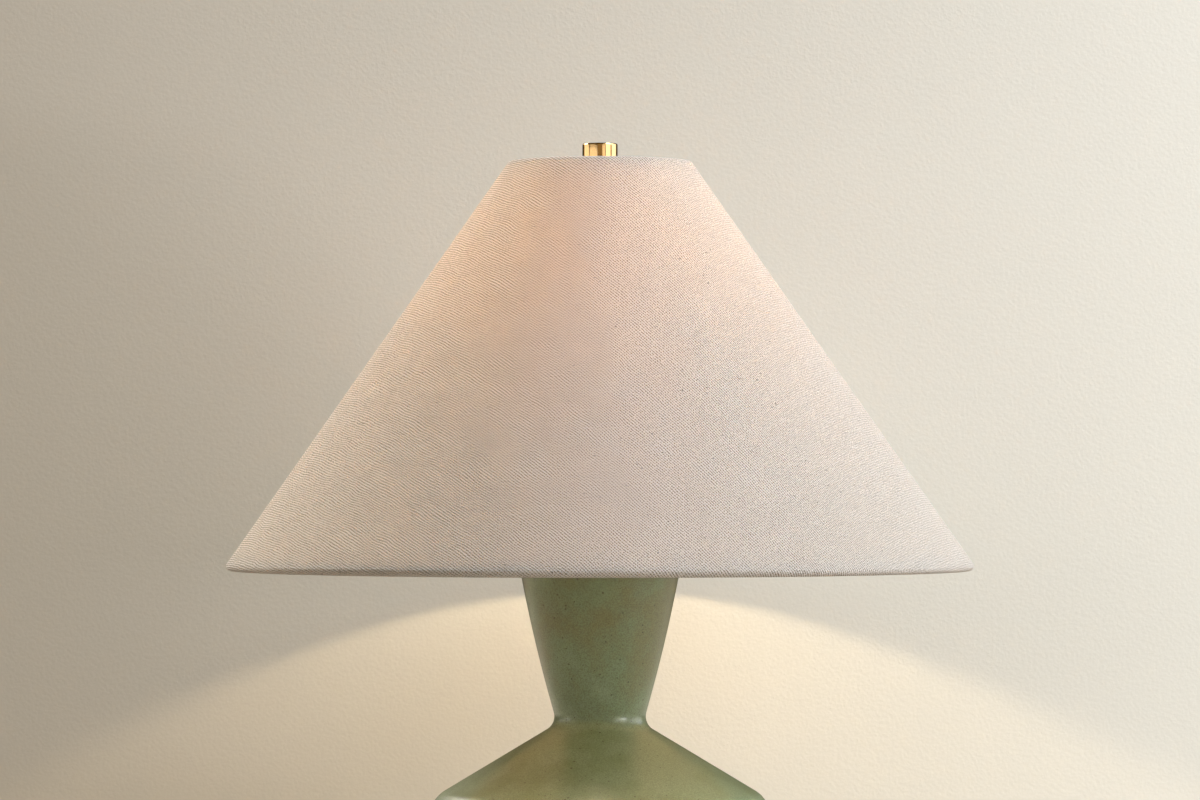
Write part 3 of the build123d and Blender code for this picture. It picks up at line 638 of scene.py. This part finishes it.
# Softboxes: name, degrees round from the front, distance, height above the floor,
# width and height of the face, brightness and colour
SOFTBOXES = (
    ("key_front", 56, 2.8, 1.7, 1.95, 3.4, 2.4, "fbfaf9"),
    ("key_back", 105, 2.8, 1.7, 2.6, 3.4, 2.45, "f8f9ff"),
    ("high_right", 92, 1.9, 2.7, 2.4, 2.4, 7.2, "e8f5ff"),
    ("right_strip", 25, 3.2, 0.82, 1.1, 0.6, 1.4, "fff8ee"),
    ("right_low", 60, 2.9, 0.42, 0.9, 0.22, 21.0, "fbfaff"),
    ("left_low", -88, 2.8, 0.42, 0.30, 0.2, 18.0, "fffaf4"),
    ("left_strip_front", -44, 2.8, 0.80, 2.9, 0.45, 1.4, "fffaf4"),
    ("left_strip_back", -100, 2.8, 0.80, 2.4, 0.45, 1.7, "fffaf4"),
    ("left_high", -131, 2.6, 2.3, 1.1, 1.1, 40.0, "fff8ec"),
    ("front_card", 0, 4.2, 0.85, 2.2, 1.2, 0.25, "ffddaa"),
)
AIM = Vector((0, 0, 0.45))

# The camera looks level; its shift puts the lamp where the photograph has it
CAMERA_AWAY, CAMERA_HEIGHT, CAMERA_SHIFT = 3.525, 0.4388, 0.0575
FLOOR_RADIUS = 16
WALL_HALF_WIDTH, WALL_HEIGHT = 2.2, 2.6
# The wall's paint darkens to its left and lightens to its right, as painted shade and light, over this far
# each side of the lamp
PAINTED_LIGHT_REACH = 0.45


class LAMP_OT_stage(bpy.types.Operator):
    """Sets up the camera, the studio lamps, the floor and the backdrop."""

    bl_idname = "lamp.stage"
    bl_label = "Stage"

    def execute(self, context):
        s = context.scene.lamp_stage
        context.scene.view_settings.view_transform = "Standard"
        self.camera(context.scene, s)
        for softbox in SOFTBOXES:
            self.softbox(*softbox)
        self.air(context.scene, s)
        self.floor(s)
        self.backdrop(s)
        return {"FINISHED"}

    def camera(self, scene, s):
        eye = bpy.data.cameras.new("camera")
        eye.sensor_width = 36
        eye.lens = s.lens
        eye.shift_y = CAMERA_SHIFT
        eye.clip_end = 60
        camera = new_object("camera", eye)
        camera.location = (0, -CAMERA_AWAY, CAMERA_HEIGHT)
        camera.rotation_euler = (pi / 2, 0, 0)
        scene.camera = camera

    def softbox(self, name, around, away, up, wide, high, level, tint):
        """A softbox aimed at the middle of the piece, and unseen itself."""
        lamp = bpy.data.lights.new(name, "AREA")
        lamp.shape = "RECTANGLE"
        lamp.size, lamp.size_y = wide, high
        lamp.energy = level * pi * wide * high
        lamp.color = srgb(tint)[:3]
        box = new_object(name, lamp)
        box.location = (away * sin(radians(around)), -away * cos(radians(around)), up)
        box.rotation_euler = (AIM - box.location).to_track_quat("-Z", "Y").to_euler()
        box.visible_camera = False

    def air(self, scene, s):
        world = bpy.data.worlds.new("studio_air")
        world.use_nodes = True
        world.node_tree.nodes.clear()
        air = add_node(world.node_tree, "ShaderNodeBackground", {"Color": s.air, "Strength": 1.0})
        add_node(world.node_tree, "ShaderNodeOutputWorld", {"Surface": air.outputs["Background"]})
        scene.world = world

    def floor(self, s):
        """A matt floor, painted on its upper side only."""
        form = bmesh.new()
        bmesh.ops.create_circle(form, cap_ends=True, radius=FLOOR_RADIUS, segments=96)
        mesh = mesh_from(form, "floor")
        floor = new_object("floor", mesh)
        material, tree = new_material("floor_paint")
        soft = noise(tree, object_place(tree), 3.0)
        tone = ramp(tree, soft, (0.3, darker(s.floor, 0.97)), (0.7, s.floor))
        self.show_front(tree, surface(tree, Base_Color=tone, Roughness=0.85))
        mesh.materials.append(material)

    def backdrop(self, s):
        """A plastered wall close behind the lamp, painted on its front only."""
        mesh = bpy.data.meshes.new("backdrop")
        side, high, y = WALL_HALF_WIDTH, WALL_HEIGHT, s.wall_distance
        corners = [(-side, y, 0), (side, y, 0), (side, y, high), (-side, y, high)]
        mesh.from_pydata(corners, [], [(0, 1, 2, 3)])
        sheet = new_object("backdrop", mesh)
        sheet.visible_glossy = False
        # Lamps behind the wall light the piece through it
        sheet.visible_shadow = False
        material, tree = new_material("painted_plaster")
        place = object_place(tree)
        share = ranged(tree, parts_of(tree, place)["X"], -PAINTED_LIGHT_REACH, PAINTED_LIGHT_REACH)
        paint = surface(
            tree,
            # Paint darker at the left and lighter at the right: painted shade and light across the wall
            Base_Color=ramp(tree, share, (0.0, s.wall_left_painted_shade), (1.0, s.wall_right_painted_light)),
            Roughness=0.9,
            # The room's own light on the wall
            Emission_Color=ramp(tree, share, (0.0, s.room_left), (1.0, s.room_right)),
            Emission_Strength=1.0,
            Normal=bumped(tree, noise(tree, place, 420.0, detail=3.0), 0.25, 0.001),
        )
        self.show_front(tree, paint)
        mesh.materials.append(material)

    def show_front(self, tree, paint):
        """Paint on the sheet's front, and a clear sheet from behind."""
        behind = add_node(tree, "ShaderNodeNewGeometry").outputs["Backfacing"]
        clear = add_node(tree, "ShaderNodeBsdfTransparent").outputs["BSDF"]
        show(tree, blended(tree, behind, paint, clear))


# The shade in mm, as (radius, height) on one side of the axis: its rings, and its slant between them
SHADE_TOP_RING = np.array([60.35, 645.15])
SHADE_BOTTOM_RING = np.array([250.85, 373.05])
SLANT_LENGTH = float(np.linalg.norm(SHADE_BOTTOM_RING - SHADE_TOP_RING))
SLANT = (SHADE_BOTTOM_RING - SHADE_TOP_RING) / SLANT_LENGTH
OUTWARD = np.array([-SLANT[1], SLANT[0]])
# The cloth's inner face lies this far from the middle of each ring's wire, and rolls this far round it
RING_HOLE = 2.15
ROLL_DEGREES = 311
ROLL_POINTS, BAND_POINTS = 26, 25
# The liner's faces as distances from the slant through the ring wires, and its ends short of the rings
LINER_NEAR, LINER_FAR = 1.25, 2.05
LINER_SHORT = 3.45


def wrap_points(reach):
    """The cloth's path at one distance from the rings: round the top ring, down, round the other."""
    angles = np.radians(np.linspace(ROLL_DEGREES, 0, ROLL_POINTS))[:, None]
    top = SHADE_TOP_RING + reach * (np.cos(angles) * OUTWARD - np.sin(angles) * SLANT)
    angles = angles[::-1]
    bottom = SHADE_BOTTOM_RING + reach * (np.cos(angles) * OUTWARD + np.sin(angles) * SLANT)
    share = np.linspace(0, 1, BAND_POINTS)[1:-1, None]
    band = top[-1] + share * (bottom[0] - top[-1])
    return np.vstack([top, band, bottom])


def cloth_map(mesh):
    """Lays the turned cloth out flat, in metres, as the sector that it was cut to."""
    to_apex = SHADE_TOP_RING[0] / SLANT[0]
    verts = np.zeros(len(mesh.vertices) * 3)
    mesh.vertices.foreach_get("co", verts)
    verts = verts.reshape(-1, 3) / MM
    flat = np.column_stack([np.hypot(verts[:, 0], verts[:, 1]), verts[:, 2]])
    # Along the slant, and on round each ring with the cloth's outer face
    slant = to_apex + (flat - SHADE_TOP_RING) @ SLANT
    reach = RING_HOLE + 1.0
    roll_end = radians(ROLL_DEGREES) + 0.17
    for ring, way, start in ((SHADE_TOP_RING, -1, to_apex), (SHADE_BOTTOM_RING, 1, to_apex + SLANT_LENGTH)):
        near = flat - ring
        turned = np.arctan2(way * near @ SLANT, near @ OUTWARD) % (2 * pi)
        rolled = (np.linalg.norm(near, axis=1) < reach + 0.6) & (turned < roll_end)
        slant = np.where(rolled, start + way * reach * turned, slant)
    around = np.arctan2(verts[:, 0], -verts[:, 1])
    layer = mesh.uv_layers.new(name="cloth")
    uv = np.zeros((len(mesh.loops), 2))
    for face in mesh.polygons:
        first = atan2(face.center.x, -face.center.y)
        for loop in face.loop_indices:
            vertex = mesh.loops[loop].vertex_index
            # A face that crosses the back stays in one piece
            angle = first + (around[vertex] - first + pi) % (2 * pi) - pi
            turned = angle * SLANT[0]
            uv[loop] = (slant[vertex] * sin(turned) * MM, -slant[vertex] * cos(turned) * MM)
    layer.data.foreach_set("uv", uv.ravel())


def split_faces(mesh, first, second, is_second):
    """Gives each face one of two materials by a test on its (radius, height) in mm."""
    mesh.materials.clear()
    mesh.materials.append(first)
    mesh.materials.append(second)
    for face in mesh.polygons:
        centre = face.center
        flat = np.array([(centre.x**2 + centre.y**2) ** 0.5 / MM, centre.z / MM])
        face.material_index = 1 if is_second(flat) else 0


def is_hidden_cloth(flat):
    """True on the glued side of the cloth and round the rings inside the rolls."""
    top, bottom = flat - SHADE_TOP_RING, flat - SHADE_BOTTOM_RING
    inner_face = RING_HOLE + 0.2
    if 0 < top @ SLANT < SLANT_LENGTH and top @ OUTWARD > 0.9 * RING_HOLE:
        return top @ OUTWARD < inner_face
    return min(np.linalg.norm(top), np.linalg.norm(bottom)) < inner_face


def is_glued_liner(flat):
    """True on the liner's outer face, which the cloth is glued to."""
    return (flat - SHADE_TOP_RING) @ OUTWARD > LINER_FAR - 0.1


class LAMP_OT_shade_cover(bpy.types.Operator):
    """Makes the linen cover with its rolled rims and the lap at the back."""

    bl_idname = "lamp.shade_cover"
    bl_label = "Shade cover"

    def execute(self, context):
        s = context.scene.lamp_shade
        linen = linen_material(s)
        outer = wrap_points(RING_HOLE + s.cover_thickness / MM)
        inner = wrap_points(RING_HOLE)[::-1]
        profile = np.vstack([outer, inner, outer[:1]])
        cover = turn("linen_cover", profile, linen, sharp_angle=50, Steps=288)
        split_faces(cover.data, linen, adhesive_material(), is_hidden_cloth)
        cloth_map(cover.data)
        # The lap stops short of both rolls' inner ends
        seam = self.seam(s, linen, outer[10:-10])
        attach(cover, "shade")
        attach(seam, "shade")
        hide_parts("shade_cover")
        return {"FINISHED"}

    def seam(self, s, linen, path):
        """The cloth's overlapping edge at the back, folded over both rims."""
        form = bmesh.new()
        across = np.linspace(-s.seam_width / 2, s.seam_width / 2, 7)
        rows = []
        for radius, height in path * MM:
            rows.append([form.verts.new((x, (radius**2 - x**2) ** 0.5, height)) for x in across])
        for a, b in zip(rows, rows[1:]):
            for corners in zip(a, a[1:], b[1:], b):
                form.faces.new(corners)
        bmesh.ops.recalc_face_normals(form, faces=form.faces)
        form.normal_update()
        middle = form.faces[len(form.faces) // 2]
        if middle.normal.y < 0:
            bmesh.ops.reverse_faces(form, faces=form.faces)
        seam = new_object("linen_seam", mesh_from(form, "linen_seam"))
        seam.data.materials.append(linen)
        solid = seam.modifiers.new("thickness", "SOLIDIFY")
        solid.thickness = 0.55 * MM
        # Most of its thickness stands out from the cloth, and the rest sinks into it
        solid.offset = 0.75
        seam.data = applied(seam)
        seam.modifiers.clear()
        smooth_mesh(seam.data, 40)
        cloth_map(seam.data)
        return seam


class LAMP_OT_shade_frame(bpy.types.Operator):
    """Makes the liner and finishes the rings and the spider."""

    bl_idname = "lamp.shade_frame"
    bl_label = "Shade liner and wire frame"

    def execute(self, context):
        styrene = styrene_material(context.scene.lamp_shade)
        down = np.linspace(LINER_SHORT, SLANT_LENGTH - LINER_SHORT, BAND_POINTS)[:, None]
        far = SHADE_TOP_RING + SLANT * down + OUTWARD * LINER_FAR
        near = SHADE_TOP_RING + SLANT * down + OUTWARD * LINER_NEAR
        liner = turn("styrene_liner", np.vstack([far, near[::-1], far[:1]]), styrene, Steps=240)
        split_faces(liner.data, styrene, bpy.data.materials["clear_adhesive_film"], is_glued_liner)
        seat(liner, "shade", "shade_liner")
        enamel = moulded_material("white_powder_coat", srgb("e6e2d8"), 0.4, grain=1400.0, depth=0.06)
        dress(enamel, "spider_frame", "bottom_ring")
        return {"FINISHED"}


# The body in mm, with the corners of its outline as (radius, height)
SHOULDER, WAIST, MOUTH = (118, 212.4), (29.36, 265.7), (57, 384)
SHOULDER_ROUNDING, WAIST_ROUNDING, MOUTH_ROUNDING, FOOT_ROUNDING = 22, 10.4, 5.0, 2.5
LOWER_BOW, NECK_BOW = -7.0, -1.7
FOOT_RADIUS, RECESS_RADIUS, RECESS_TOP = 66, 58, (63.94, 26)
FELT_TOP, CAVITY_FLOOR = 2, 32
ROD_HOLE, FLOOR_HOLE = 6, 40
# How fast the lower wall opens just above the cavity's floor
LOWER_SLOPE = 0.247

# The cord's inlet at the back, in mm: cylinders as (radius, start, end) along +Y
INLET_HEIGHT = 12.5
SPOT_FACE = (8.25, 66.0, 100.0)
INLET_HOLE = (5.8, 50.0, 67.0)


class LAMP_OT_body(bpy.types.Operator):
    """Makes the glazed body with its spot face for the cord bushing."""

    bl_idname = "lamp.body"
    bl_label = "Ceramic body"

    def execute(self, context):
        s = context.scene.lamp_glaze
        wall = s.wall / MM
        outside = outline(
            [
                (RECESS_RADIUS, FELT_TOP),
                (FOOT_RADIUS, FELT_TOP, FOOT_ROUNDING, LOWER_BOW),
                (*SHOULDER, SHOULDER_ROUNDING),
                (*WAIST, WAIST_ROUNDING, NECK_BOW),
                (*MOUTH, MOUTH_ROUNDING),
                (ROD_HOLE, MOUTH[1]),
            ],
            arc_points=18,
        )
        inside = self.inner_wall(outside, wall)
        shelf = [(FLOOR_HOLE, CAVITY_FLOOR), (FLOOR_HOLE, RECESS_TOP[1])]
        recess = [RECESS_TOP, (RECESS_RADIUS, FELT_TOP)]
        profile = np.vstack([outside, [(ROD_HOLE, MOUTH[1] - wall)], inside, shelf, recess])
        body = turn("ceramic_vase", divided(profile, 6.0), glaze_material(s), sharp_angle=35, Steps=224)
        for cylinder in (SPOT_FACE, INLET_HOLE):
            self.cut_inlet(body, *cylinder)
        smooth_mesh(body.data, 35)
        seat(body, "base", "ceramic_body")
        return {"FINISHED"}

    def inner_wall(self, outside, wall):
        """The outline set in by the wall, from the top down to the cavity's floor."""
        run = np.gradient(outside, axis=0)
        run /= np.linalg.norm(run, axis=1)[:, None]
        set_in = outside + wall * np.column_stack([-run[:, 1], run[:, 0]])
        ceiling = MOUTH[1] - wall
        inside = [
            p
            for p, q in zip(set_in, outside)
            if CAVITY_FLOOR + 1 < p[1] < ceiling - 1 and q[0] > 20 and 3 < q[1] < MOUTH[1] - 0.1
        ][::-1]
        top = (inside[0][0], ceiling)
        radius, height = inside[-1]
        bottom = (radius - (height - CAVITY_FLOOR) * LOWER_SLOPE, CAVITY_FLOOR)
        return np.vstack([top, inside, bottom])

    def cut_inlet(self, body, radius, start, end):
        """Cuts one cylinder along +Y out of the foot, at the inlet's height."""
        form = bmesh.new()
        sizes = {"radius1": radius * MM, "radius2": radius * MM, "depth": (end - start) * MM}
        bmesh.ops.create_cone(form, cap_ends=True, segments=48, **sizes)
        for vertex in form.verts:
            x, y, z = vertex.co
            vertex.co = (x, z + (start + end) / 2 * MM, INLET_HEIGHT * MM - y)
        cut(body, new_object("inlet_tool", mesh_from(form, "inlet_tool")))


class LAMP_OT_foot(bpy.types.Operator):
    """Makes the felt and finishes the clamp in the foot, the rod and the cord bushing."""

    bl_idname = "lamp.foot"
    bl_label = "Foot"

    def execute(self, context):
        metals = context.scene.lamp_metal
        felt = moulded_material("pressed_wool_felt", srgb("5d5a4e"), 0.95, grain=700.0, depth=0.9, sheen=0.4)
        radius, edge = 63.5, 0.6
        corners = [(0, FELT_TOP), (radius, FELT_TOP, edge), (radius, 0, edge), (0, 0)]
        pad = turn("felt_disc", outline(corners, arc_points=4), felt, sharp_angle=60, Steps=128)
        seat(pad, "base", "felt_pad")
        zinc = metal_material("zinc_plated_steel", metals.zinc, 0.35, line_scale=(300.0, 300.0, 300.0))
        dress(zinc, "base_plate", "base_washer", "base_nut", "lamp_rod")
        dress(moulded_material("black_nylon", srgb("26241f"), 0.45, grain=1600.0), "cord_bushing")
        return {"FINISHED"}


class LAMP_OT_top_clamp(bpy.types.Operator):
    """Makes the vase cap and finishes the gasket and the check ring."""

    bl_idname = "lamp.top_clamp"
    bl_label = "Top clamp"

    def execute(self, context):
        brass = satin_brass(context)
        # A disc with a rim that turns down round the mouth
        bore, rim_inside, radius = 5.3, 21.8, 24
        rim_bottom, underside, top = 384.3, 385.5, 388
        disc = [(bore, top), (radius, top, 2.0), (radius, rim_bottom, 0.3)]
        under = [(rim_inside, rim_bottom, 0.2), (rim_inside, underside), (bore, underside)]
        cap = turn("brass_vase_cap", outline(disc + under, closed=True), brass, Steps=128)
        seat(cap, "base", "vase_cap")
        dress(moulded_material("gasket_rubber", srgb("3a3835"), 0.8), "cap_gasket")
        dress(brass, "check_ring")
        return {"FINISHED"}


def satin_brass(context):
    """Lathe-turned brass, polished satin, in lines round the axis."""
    name = "satin_turned_brass"
    return bpy.data.materials.get(name) or metal_material(name, context.scene.lamp_metal.brass, 0.08)


# The finial in mm
FINIAL_BOTTOM, FINIAL_TOP = 636.0, 660.4
FINIAL_BORE, BORE_END = 3.225, 650.5


class LAMP_OT_finial(bpy.types.Operator):
    """Makes the turned brass finial with its chamfers and bore."""

    bl_idname = "lamp.finial"
    bl_label = "Finial"

    def execute(self, context):
        radius = context.scene.lamp_metal.finial_radius / MM
        low, high, edge = FINIAL_BOTTOM, FINIAL_TOP, 0.8
        corners = [
            (0, high),
            (radius - edge, high, 0.5),
            (radius, high - edge, 0.5),
            (radius, low + edge, 0.5),
            (radius - edge, low, 0.3),
            (FINIAL_BORE + 0.375, low, 0.1),
            (FINIAL_BORE, low + 0.35, 0.1),
            (FINIAL_BORE, BORE_END),
            (0, BORE_END),
        ]
        profile = outline(corners, arc_points=5)
        finial = turn("brass_finial", profile, satin_brass(context), sharp_angle=50, Steps=128)
        seat(finial, "finial", "finial")
        return {"FINISHED"}


# The stud in mm: the radii of its foot, flange and thread of 27 turns an inch, and the heights between
STUD_FOOT, STUD_FLANGE, STUD_RADIUS = 2.5, 6, 3.175
STUD_BOTTOM, FLANGE_BOTTOM, FLANGE_TOP, STUD_TOP = 630.15, 631.9, 634.5, 649.5
STUD_PITCH = 0.94


class LAMP_OT_harp(bpy.types.Operator):
    """Makes the threaded stud and finishes the harp, its saddle and its ferrules."""

    bl_idname = "lamp.harp"
    bl_label = "Harp"

    def execute(self, context):
        nickel = metal_material("nickel_plated_steel", context.scene.lamp_metal.steel, 0.25)
        dress(nickel, "harp_saddle", "harp_wire", "harp_hub", "ferrule_left", "ferrule_right")
        foot = [(0, STUD_BOTTOM), (STUD_FOOT, STUD_BOTTOM, 0.2), (STUD_FOOT, FLANGE_BOTTOM)]
        flange = [(STUD_FLANGE, FLANGE_BOTTOM, 0.4), (STUD_FLANGE, FLANGE_TOP, 0.4)]
        parts = [
            outline(foot + flange, arc_points=3),
            [(STUD_RADIUS, FLANGE_TOP)],
            rungs(STUD_RADIUS, FLANGE_TOP + 0.2, 648.7, 0.12),
            [(STUD_RADIUS, STUD_TOP - 0.6), (STUD_RADIUS - 0.6, STUD_TOP), (0, STUD_TOP)],
        ]
        turns = thread_sizes(STUD_PITCH, 0.45, 635.2, 648.7)
        stud = turn("threaded_stud", np.vstack(parts), nickel, sharp_angle=60, Steps=40, **turns)
        # The ridges are cut back to the rod that the thread is cut in
        most = STUD_RADIUS * MM
        for vertex in stud.data.vertices:
            flat = (vertex.co.x**2 + vertex.co.y**2) ** 0.5
            if vertex.co.z > (FLANGE_TOP + 0.1) * MM and flat > most:
                vertex.co.x *= most / flat
                vertex.co.y *= most / flat
        seat(stud, "swivel", "harp_stud")
        return {"FINISHED"}


# The lamp thread that screw shell and bulb share, in mm
LAMP_PITCH, LAMP_DEPTH = 3.6, 0.5

# The screw shell in mm: the radii of its hole, inside and outside, and its ends
SHELL_HOLE, SHELL_INSIDE, SHELL_OUTSIDE = 6, 13.4, 13.9
SHELL_BOTTOM, SHELL_TOP = 425.95, 445.65


class LAMP_OT_lampholder(bpy.types.Operator):
    """Finishes the lampholder and makes its threaded screw shell."""

    bl_idname = "lamp.lampholder"
    bl_label = "Lampholder"

    def execute(self, context):
        brass = metal_material("lampholder_brass", context.scene.lamp_metal.holder_brass, 0.28)
        dress(brass, "socket_cap", "socket_shell")
        screws = metal_material("bright_screw_brass", srgb("d9b676"), 0.2, line_scale=(900.0, 900.0, 900.0))
        dress(screws, "terminal_screws", "centre_contact")
        card = moulded_material("pressed_fibre_card", srgb("c2b08c"), 0.85, grain=500.0, depth=0.3)
        dress(card, "socket_liner")
        resin = moulded_material("moulded_phenolic", srgb("1d1b19"), 0.4, grain=1200.0)
        dress(resin, "socket_core_base", "socket_core", "switch_rotor")
        floor = SHELL_BOTTOM + SHELL_OUTSIDE - SHELL_INSIDE
        parts = [
            [(SHELL_HOLE, SHELL_BOTTOM), (SHELL_OUTSIDE, SHELL_BOTTOM)],
            rungs(SHELL_OUTSIDE, 427.0, SHELL_TOP, 0.4),
            rungs(SHELL_INSIDE, 427.0, SHELL_TOP, 0.4)[::-1],
            [(SHELL_INSIDE, floor), (SHELL_HOLE, floor), (SHELL_HOLE, SHELL_BOTTOM)],
        ]
        turns = thread_sizes(LAMP_PITCH, LAMP_DEPTH, 427.6, 445.2)
        shell = turn("screw_shell_thread", np.vstack(parts), screws, sharp_angle=60, Steps=72, **turns)
        seat(shell, "base", "screw_shell")
        return {"FINISHED"}


# Where the knob's back and its axis lie on the lamp, in mm
KNOB_BACK, KNOB_HEIGHT = 19.5, 415.85


class LAMP_OT_switch(bpy.types.Operator):
    """Makes the fluted switch knob and finishes its shaft."""

    bl_idname = "lamp.switch"
    bl_label = "Switch"

    def execute(self, context):
        resin = moulded_material("knob_phenolic", srgb("211d1a"), 0.3, grain=1500.0, depth=0.05)
        # The knob is turned upright, with the flute marks in the profile, then laid over to face -Y
        bore, radius, bore_end, length = 2.55, 6.5, 10.0, 12.0
        outside = [(bore, 0), (radius, 0, 0.6), (radius, 10.8, 0.5), (5.6, length, 0.8), (0, length)]
        corners = outside + [(0, bore_end), (bore, bore_end)]
        profile = divided(outline(corners, closed=True, arc_points=4), 2.0)
        marks = np.where(profile[:, 0] > radius - 0.8, 1.0, 0.0)
        flutes = {"flute_marks": marks, "Flutes": 12, "Flute_Depth": 0.9 * MM}
        knob = turn("fluted_knob", profile, resin, sharp_angle=45, Steps=144, **flutes)
        for vertex in knob.data.vertices:
            x, y, z = vertex.co
            vertex.co = (x, -KNOB_BACK * MM - z, KNOB_HEIGHT * MM + y)
        smooth_mesh(knob.data, 45)
        seat(knob, "switch", "switch_knob")
        dress(metal_material("switch_shaft_brass", srgb("cfae72"), 0.25), "switch_shaft")
        return {"FINISHED"}


# The bulb in mm: its globe, cut off 14 mm under its centre, the housing under it, and its threaded cap
GLOBE_CENTRE, GLOBE_RADIUS, GLOBE_CUT, GLASS = 507.45, 30.0, 14.0, 1.2
HOUSING_BOTTOM, CAP_END, LEDGE, HOUSING_TOP = 434.45, 452.45, 491.85, 493.45
HOUSING_NECK, LEDGE_RADIUS, HOUSING_RADIUS = 12.45, 23.75, 26.53
CAP_OUTSIDE, CAP_INSIDE, CAP_START = 12.85, 12.35, 431.65


class LAMP_OT_bulb(bpy.types.Operator):
    """Makes the lit globe, the housing and the threaded cap of the bulb."""

    bl_idname = "lamp.bulb"
    bl_label = "Bulb"

    def execute(self, context):
        s = context.scene.lamp_bulb
        outer = self.globe_points(GLOBE_RADIUS, 40)
        inner = self.globe_points(GLOBE_RADIUS - GLASS, 30)[::-1]
        profile = np.array(outer + inner + outer[:1])
        globe = turn("opal_globe", profile, opal_material(s), sharp_angle=50, Steps=s.segments)
        white = moulded_material("bulb_housing_white", srgb("eeebe3"), 0.35, grain=1300.0, depth=0.04)
        shell = turn("bulb_housing_shell", self.housing_outline(), white, Steps=s.segments)
        metal = metal_material("nickel_plated_cap", srgb("c6c3bb"), 0.22, line_scale=(90.0, 90.0, 1800.0))
        turns = thread_sizes(LAMP_PITCH, LAMP_DEPTH, 435.4, 450.5)
        screw = turn("bulb_cap_thread", self.cap_profile(), metal, sharp_angle=60, Steps=72, **turns)
        seat(globe, "bulb", "bulb_globe")
        seat(shell, "bulb", "bulb_housing")
        seat(screw, "bulb", "bulb_cap")
        dress(metal, "bulb_tip")
        dress(moulded_material("black_glass_insulator", srgb("1a1a1c"), 0.2), "bulb_insulator")
        dress(metal_material("board_aluminium", srgb("cfd0d0"), 0.4), "led_board")
        dress(moulded_material("phosphor_resin", srgb("f0c94a"), 0.5, grain=1500.0), "led_chips")
        return {"FINISHED"}

    def globe_points(self, radius, count):
        """An arc of the globe from its cut edge up to the top."""
        angles = np.linspace(np.arcsin(-GLOBE_CUT / radius), pi / 2, count)
        return [(radius * cos(a), GLOBE_CENTRE + radius * sin(a)) for a in angles]

    def housing_outline(self):
        neck = [(0, HOUSING_BOTTOM), (HOUSING_NECK, HOUSING_BOTTOM, 0.3), (HOUSING_NECK, CAP_END)]
        side = [(13.6, CAP_END, 0.4, 1.4), (HOUSING_RADIUS, HOUSING_TOP, 0.4)]
        ledge = [(LEDGE_RADIUS, HOUSING_TOP), (LEDGE_RADIUS, LEDGE), (0, LEDGE)]
        return outline(neck + side + ledge, arc_points=4)

    def cap_profile(self):
        """The cap's thin wall, up its outside and down its inside."""
        parts = [
            [(10.0, CAP_START), (10.5, CAP_START), (CAP_OUTSIDE, HOUSING_BOTTOM)],
            rungs(CAP_OUTSIDE, 435.2, 452.0, 0.4),
            [(13.1, 452.2), (13.1, CAP_END), (12.6, CAP_END)],
            rungs(CAP_INSIDE, 435.2, 452.0, 0.4)[::-1],
            [(CAP_INSIDE, 434.75), (10.0, 432.15), (10.0, CAP_START)],
        ]
        return np.vstack(parts)


STEPS = (
    LAMP_OT_stage,
    LAMP_OT_shade_cover,
    LAMP_OT_shade_frame,
    LAMP_OT_body,
    LAMP_OT_foot,
    LAMP_OT_top_clamp,
    LAMP_OT_harp,
    LAMP_OT_finial,
    LAMP_OT_lampholder,
    LAMP_OT_switch,
    LAMP_OT_bulb,
)

SETTINGS = (
    ("lamp_stage", StageSettings),
    ("lamp_glaze", GlazeSettings),
    ("lamp_shade", ShadeSettings),
    ("lamp_metal", MetalSettings),
    ("lamp_bulb", BulbSettings),
)


class LAMP_PT_panel(bpy.types.Panel):
    """Lists the lamp's pieces, sizes and colours."""

    bl_idname = "LAMP_PT_panel"
    bl_label = "Amphora table lamp"
    bl_space_type = "VIEW_3D"
    bl_region_type = "UI"
    bl_category = "Lamp"

    def draw(self, context):
        for step in STEPS:
            self.layout.operator(step.bl_idname)
        for name, group in SETTINGS:
            box = self.layout.box()
            for item in group.__annotations__:
                box.prop(getattr(context.scene, name), item)


def register():
    for name, group in SETTINGS:
        bpy.utils.register_class(group)
        setattr(bpy.types.Scene, name, PointerProperty(type=group))
    for step in (*STEPS, LAMP_PT_panel):
        bpy.utils.register_class(step)


def unregister():
    for step in reversed((*STEPS, LAMP_PT_panel)):
        bpy.utils.unregister_class(step)
    for name, group in reversed(SETTINGS):
        delattr(bpy.types.Scene, name)
        bpy.utils.unregister_class(group)


def main():
    register()
    for step in STEPS:
        group, name = step.bl_idname.split(".")
        getattr(getattr(bpy.ops, group), name)()


if __name__ == "__main__":
    main()
